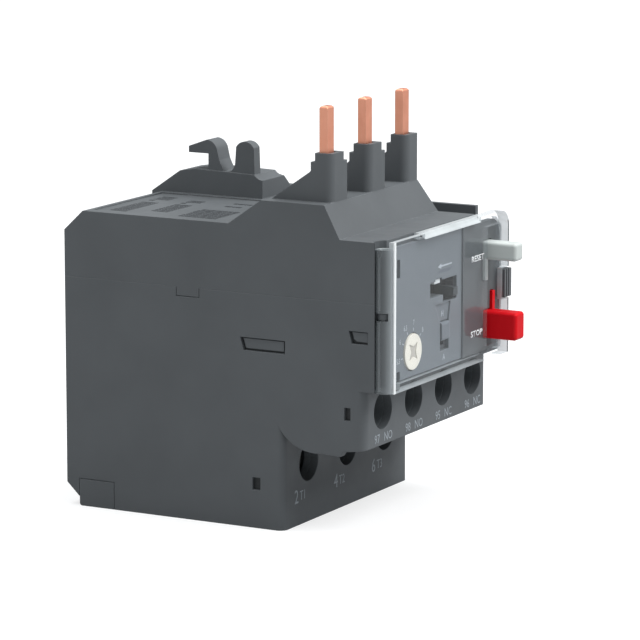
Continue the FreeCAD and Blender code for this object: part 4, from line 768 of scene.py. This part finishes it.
@dataclass
class Mouldings:
    """The outer mouldings: both housings, the base cover, the latch and the data field on top."""

    field_floor: float = 50.95 * MM
    pitch: float = 1.25 * MM
    bar: float = 0.8 * MM
    dashes: tuple[float, ...] = (0.9, 0.5, 1.3, 0.7, 0.4, 1.0)
    gap: float = 0.22
    stand: float = 0.01 * MM
    fields: tuple[tuple[float, float, float, float], ...] = (
        (-17.8, -7.6, 24.0, 27.1), (-5.2, -4.9, 26.2, 27.1), (-3.7, -0.8, 24.1, 27.0),
        (-15.3, -7.2, 17.3, 20.5), (-5.6, -5.4, 19.6, 20.5), (-4.1, -1.9, 17.5, 20.3),
        (-18.0, -9.8, 6.3, 13.6), (-5.4, -5.2, 8.8, 11.9), (-2.2, -2.0, 8.5, 12.0))
    recesses: tuple[RecessInsert, ...] = (
        RecessInsert("ejector", ((-9.26, 30.1), (-1.4, 30.1), (-0.72, 32.3), (-9.26, 32.3)),
                     ((-8.95, 30.45), (-1.75, 30.45), (-1.25, 32.12), (-8.95, 32.12))),
        RecessInsert("catch", ((-24.73, 33.0), (-21.75, 33.0), (-21.2, 35.1), (-24.73, 35.1)),
                     ((-24.6, 33.35), (-22.6, 33.42), (-22.1, 33.75), (-21.75, 34.95), (-24.6, 34.95))),
        RecessInsert("aux_notch", ((-21.55, 20.05), (-20.4, 20.05), (-20.4, 22.2), (-21.55, 22.2))),
        RecessInsert("lower_notch", ((-4.53, 6.5), (-3.0, 6.5), (-3.0, 8.64), (-4.53, 8.64))))

    def build(self) -> None:
        """Lay the data field and the side recesses, and dress the mouldings."""
        self.lay_data_field()
        for recess in self.recesses:
            recess.build()
        for node in ("lower_housing", "upper_housing", "base_cover", "cover_latch"):
            dress(node, Palette.HOUSING)
        # The frames in the wells take the paler copy of the housing plastic: painted light.
        for node in ("pole_frame", "power_terminal_frame", "control_terminal_frame"):
            dress(node, Palette.INNER)

    def lay_data_field(self) -> None:
        """Lay rows of plain dashes, which stand for the moulded rating lines, in the top recess."""
        mesh = bmesh.new()
        lengths = cycle(self.dashes)
        middle = self.field_floor + self.stand
        for left, right, front, back in self.fields:
            across = left * MM
            while across <= right * MM:
                along = front
                while along < back:
                    length = min(next(lengths), back - along)
                    place = Matrix.Translation((across, (along + length / 2) * MM, middle))
                    size = Matrix.Diagonal((self.bar, length * MM, INK_THICK, 1.0))
                    bmesh.ops.create_cube(mesh, size=1.0, matrix=place @ size)
                    along += length + self.gap
                across += self.pitch
        new_piece("data_field", mesh, Palette.STAMP, "root")


@dataclass
class Terminals:
    """The power and control terminals with their printed numbers."""

    power_base: float = 3.85 * MM
    power_height: float = 2.35 * MM
    power_left: float = -4.9 * MM
    phase_base: float = 4.2 * MM
    phase_height: float = 1.55 * MM
    phase_left: float = -3.1 * MM
    control_base: float = 15.75 * MM
    control_height: float = 1.45 * MM
    control_left: float = -2.9 * MM
    kind_left: float = 0.5 * MM
    narrow: float = 0.9

    def build(self) -> None:
        """Dress the terminals and print their numbers."""
        for index in POLES:
            dress(f"power_clamp_{index}", Palette.CLAMP)
            dress(f"load_strip_{index}", Palette.COPPER)
        for number, _ in CONTROLS:
            dress(f"aux_clamp_{number}", Palette.CLAMP)
            dress(f"contact_strip_{number}", Palette.BRASS)
        dress("power_screws", Palette.SCREW)
        dress("aux_screws", Palette.SCREW)
        self.print_power_numbers()
        self.print_control_numbers()

    def print_power_numbers(self) -> None:
        """Print 2T1, 4T2 and 6T3 under the power wells."""
        for index in POLES:
            middle = middle_of(f"power_clamp_{index}").x
            Lettering(f"power_number_{index}", str(2 * index), middle + self.power_left, self.power_base,
                      self.power_height, Palette.MARK).build(FRONTS.lower, "root")
            Lettering(f"power_phase_{index}", f"T{index}", middle + self.phase_left, self.phase_base,
                      self.phase_height, Palette.MARK).build(FRONTS.lower, "root")

    def print_control_numbers(self) -> None:
        """Print the control terminals' numbers under their wells."""
        for number, kind in CONTROLS:
            middle = middle_of(f"aux_clamp_{number}").x
            Lettering(f"control_number_{number}", str(number), middle + self.control_left, self.control_base,
                      self.control_height, Palette.MARK, self.narrow).build(FRONTS.control, "root")
            Lettering(f"control_kind_{number}", kind, middle + self.kind_left, self.control_base,
                      self.control_height, Palette.MARK, self.narrow).build(FRONTS.control, "root")


class LinePath:
    """The copper pins, heaters and bimetals of the three poles."""

    def build(self) -> None:
        """Dress the pole parts."""
        for index in POLES:
            dress(f"line_pin_{index}", Palette.COPPER)
            dress(f"heater_winding_{index}", Palette.HEATER)
            dress(f"bimetal_{index}", Palette.BIMETAL)


class Mechanism:
    """The trip mechanism and contacts inside the housing."""

    FINISHES = {
        "trip_slider": Palette.CARRIER,
        "differential_slider": Palette.CARRIER,
        "differential_lever": Palette.CARRIER,
        "trip_lever": Palette.CARRIER,
        "contact_carrier": Palette.DARK,
        "trip_flag": Palette.FLAG,
        "compensating_strip": Palette.BIMETAL,
        "trip_pivot_pin": Palette.SPRING,
        "cover_hinge_pin": Palette.SPRING,
        "nc_bridge": Palette.BRASS,
        "no_bridge": Palette.BRASS,
        "stop_spring": Palette.SPRING,
        "reset_spring": Palette.SPRING,
    }

    def build(self) -> None:
        """Dress the inner parts."""
        for node, finish in self.FINISHES.items():
            dress(node, finish)


@dataclass
class OperatorPanel:
    """The fascia, its operators, the printed marks and the clear cover."""

    FINISHES = {
        "fascia": Palette.FASCIA,
        "clear_cover": Palette.CLEAR,
        "setting_dial": Palette.IVORY,
        "dial_cam": Palette.CARRIER,
        "stop_button": Palette.RED,
        "reset_button": Palette.PALE,
        "test_lever": Palette.DARK,
        "reset_selector": Palette.KNOB,
    }
    ARROW = ((-2.0, 43.1), (-0.8, 42.65), (-0.8, 42.95), (3.1, 43.0), (3.1, 43.2), (-0.8, 43.25),
             (-0.8, 43.55))
    ARROW_SHADE = ((-2.4, 42.0), (2.2, 41.9), (3.4, 42.5), (-1.2, 42.5))

    word_height: float = 1.0 * MM
    word_bold: float = 0.012
    words: tuple[tuple[str, float, float, float], ...] = (
        ("RESET", 7.7, 42.55, 1.25), ("STOP", 7.5, 29.65, 1.3))
    scale_height: float = 0.85 * MM
    scale_radius: float = 4.9 * MM
    digit_width: float = 0.62
    scale: tuple[tuple[str, float], ...] = (
        ("5.5", 190.0), ("6", 152.0), ("6.5", 118.0), ("7", 84.0), ("8", 40.0))
    tick: tuple[float, float] = (0.45, 0.95)
    tick_half: float = 0.09
    cap_sides: int = 64
    cap_thick: float = 0.12 * MM
    cap_inset: float = 0.02 * MM
    star_corners: int = 8
    star: tuple[float, float] = (2.05 * MM, 0.85 * MM)
    floor_sides: int = 24
    floor_radius: float = 2.2
    sign_inset: float = 1.1 * MM
    signs: tuple[tuple[str, float, float], ...] = (("A", 27.0 * MM, 0.0), ("H", 34.4 * MM, 0.3 * MM))

    def build(self) -> None:
        """Dress the panel and print its marks."""
        for node, finish in self.FINISHES.items():
            dress(node, finish)
        self.cap_dial()
        self.print_words()
        self.print_scale()
        self.print_signs()

    def cap_dial(self) -> None:
        """Lay the dial's cap, with its four-pointed driver recess, and the recess floor, whose darker colour
        paints the shade in the shallow recess.
        """
        low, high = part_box("setting_dial")
        middle, rim = middle_of("setting_dial"), (high.x - low.x) / 2
        mesh = bmesh.new()
        for count, radii in ((self.cap_sides, (rim - self.cap_inset,)), (self.star_corners, self.star)):
            loop = []
            for index in range(count):
                angle = 2 * math.pi * index / count + math.pi / 4
                reach = radii[index % len(radii)]
                loop.append(mesh.verts.new((reach * math.cos(angle), 0, reach * math.sin(angle))))
            for first, second in zip(loop, loop[1:] + loop[:1]):
                mesh.edges.new((first, second))
        bmesh.ops.triangle_fill(mesh, edges=mesh.edges[:], use_beauty=True)
        thicken(mesh, (0, -self.cap_thick, 0))
        bmesh.ops.translate(mesh, verts=mesh.verts, vec=(middle.x, low.y, middle.z))
        new_piece("dial_cap", mesh, Palette.IVORY, "dial")
        turns = [2 * math.pi * step / self.floor_sides for step in range(self.floor_sides)]
        corners = [(middle.x / MM + self.floor_radius * math.cos(turn),
                    middle.z / MM + self.floor_radius * math.sin(turn)) for turn in turns]
        FlatMark("dial_shade_floor", corners, Palette.RECESS).build(low.y, "dial")

    def print_words(self) -> None:
        """Print the words beside the two push buttons on the cover."""
        for word, left, base, wide in self.words:
            Lettering(f"word_{word.lower()}", word, left * MM, base * MM, self.word_height, Palette.WORD,
                      wide, self.word_bold).build(FRONTS.cover, "cover")

    def print_scale(self) -> None:
        """Print the numbers and ticks round the dial."""
        low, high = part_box("setting_dial")
        middle = middle_of("setting_dial")
        centre = Vector((middle.x, middle.z))
        rim = (high.x - low.x) / 2 / MM
        for text, angle in self.scale:
            turn = math.radians(angle)
            out = Vector((math.cos(turn), math.sin(turn)))
            side = Vector((-out.y, out.x)) * self.tick_half
            start, end = (out * (rim + reach) for reach in self.tick)
            corners = [tuple(centre / MM + point)
                       for point in (start - side, end - side, end + side, start + side)]
            name = text.replace(".", "_")
            FlatMark(f"dial_tick_{name}", corners, Palette.SCALE).build(FRONTS.fascia, "root")
            wide = self.digit_width * self.scale_height * len(text)
            place = centre + out * self.scale_radius - Vector((wide, self.scale_height)) / 2
            Lettering(f"dial_number_{name}", text, place.x, place.y, self.scale_height,
                      Palette.SCALE).build(FRONTS.fascia, "root")

    def print_signs(self) -> None:
        """Print the test arrow, its shade, and the H and A of the reset selector."""
        FlatMark("test_arrow", self.ARROW, Palette.SCALE).build(FRONTS.fascia, "root")
        FlatMark("test_arrow_shade", self.ARROW_SHADE, Palette.SHADE).build(FRONTS.fascia, "root")
        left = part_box("reset_selector")[0].x + self.sign_inset
        for sign, base, behind in self.signs:
            Lettering(f"mark_{sign.lower()}", sign, left, base, self.word_height,
                      Palette.SCALE).build(FRONTS.fascia + behind, "root")


# ---- studio ----------------------------------------------------------------------------------------


@dataclass
class Studio:
    """Camera, lamps, world and floor."""

    azimuth: float = -61.327
    elevation: float = 10.382
    place: tuple[float, float, float] = (-0.55498, -0.30706, 0.14763)
    lens: float = 211.63
    sensor: float = 36.0
    clip: tuple[float, float] = (0.01, 50.0)
    ambient: float = 0.44
    sky: tuple[float, ...] = (0.95, 0.98, 1.0, 1.0)
    floor_size: float = 6.0
    floor_colour: tuple[float, ...] = (0.36, 0.365, 0.37, 1.0)
    floor_glow: float = 0.68
    aim: tuple[float, float, float] = (0.0, 0.0, 0.035)
    lamps: tuple[tuple[str, tuple[float, float, float], float, float], ...] = (
        ("key_lamp", (0.35, -0.9, 1.0), 0.8, 18.5), ("top_lamp", (-0.1, 0.1, 1.4), 1.0, 16.5),
        ("left_lamp", (-1.3, 0.25, 0.35), 1.0, 1.9))

    def build(self) -> None:
        """Set up everything round the relay."""
        self.set_camera()
        self.set_world()
        self.lay_floor()
        for lamp in self.lamps:
            self.hang_lamp(*lamp)
        bpy.context.scene.view_settings.view_transform = "Standard"

    def set_camera(self) -> None:
        """Point the camera from the front left, a little above."""
        turn, rise = math.radians(self.azimuth), math.radians(self.elevation)
        back = Vector((math.sin(turn) * math.cos(rise), -math.cos(turn) * math.cos(rise), math.sin(rise)))
        data = bpy.data.cameras.new("camera")
        data.sensor_width = self.sensor
        data.lens = self.lens
        data.clip_start, data.clip_end = self.clip
        camera = bpy.data.objects.new("camera", data)
        bpy.context.scene.collection.objects.link(camera)
        camera.location = self.place
        camera.rotation_mode = "QUATERNION"
        camera.rotation_quaternion = (-back).to_track_quat("-Z", "Y")
        bpy.context.scene.camera = camera

    def set_world(self) -> None:
        """Light from all round, and show plain white to the camera and in reflections."""
        world = bpy.data.worlds.new("studio_world")
        world.use_nodes = True
        tree = world.node_tree
        tree.nodes.clear()
        output = tree.nodes.new("ShaderNodeOutputWorld")
        seen = tree.nodes.new("ShaderNodeBackground")
        light = tree.nodes.new("ShaderNodeBackground")
        path = tree.nodes.new("ShaderNodeLightPath")
        mix = tree.nodes.new("ShaderNodeMixShader")
        direct = tree.nodes.new("ShaderNodeMath")
        direct.operation = "MAXIMUM"
        light.inputs["Color"].default_value = self.sky
        light.inputs["Strength"].default_value = self.ambient
        seen.inputs["Strength"].default_value = 1.0
        tree.links.new(path.outputs["Is Camera Ray"], direct.inputs[0])
        tree.links.new(path.outputs["Is Transmission Ray"], direct.inputs[1])
        tree.links.new(direct.outputs[0], mix.inputs[0])
        tree.links.new(light.outputs[0], mix.inputs[1])
        tree.links.new(seen.outputs[0], mix.inputs[2])
        tree.links.new(mix.outputs[0], output.inputs["Surface"])
        bpy.context.scene.world = world

    def lay_floor(self) -> None:
        """Lay the pale floor under the relay."""
        mesh = bmesh.new()
        bmesh.ops.create_grid(mesh, x_segments=1, y_segments=1, size=self.floor_size / 2)
        data = bpy.data.meshes.new("floor")
        mesh.to_mesh(data)
        mesh.free()
        floor = bpy.data.objects.new("floor", data)
        bpy.context.scene.collection.objects.link(floor)
        graph = Graph("floor_white")
        matt = graph.add("BsdfDiffuse", {"Color": self.floor_colour})
        glow = graph.add("Emission", {"Color": WHITE, "Strength": self.floor_glow})
        both = graph.add("AddShader", {0: matt.outputs[0], 1: glow.outputs[0]})
        path = graph.add("LightPath")
        direct = graph.maths("MAXIMUM", path.outputs["Is Camera Ray"], path.outputs["Is Transmission Ray"])
        shown = graph.add("MixShader", {0: direct, 1: matt.outputs[0], 2: both.outputs[0]})
        graph.tree.links.new(shown.outputs[0], graph.output.inputs["Surface"])
        data.materials.append(graph.material)

    def hang_lamp(self, name: str, place: tuple[float, float, float], size: float, power: float) -> None:
        """Hang a square soft lamp that points at the relay's middle.

        Args:
            name: the lamp's name.
            place: its place, in metres.
            size: its side, in metres.
            power: its power, in watts.
        """
        data = bpy.data.lights.new(name, "AREA")
        data.size = size
        data.energy = power
        lamp = bpy.data.objects.new(name, data)
        bpy.context.scene.collection.objects.link(lamp)
        lamp.location = place
        towards = Vector(self.aim) - Vector(place)
        lamp.rotation_mode = "QUATERNION"
        lamp.rotation_quaternion = towards.to_track_quat("-Z", "Y")


def main() -> None:
    """Build the studio and dress every sub-assembly in order."""
    for builder in (Studio(), Mouldings(), Terminals(), LinePath(), Mechanism(), OperatorPanel()):
        builder.build()
        log.info("finished %s", type(builder).__name__)


if __name__ == "__main__":
    main()
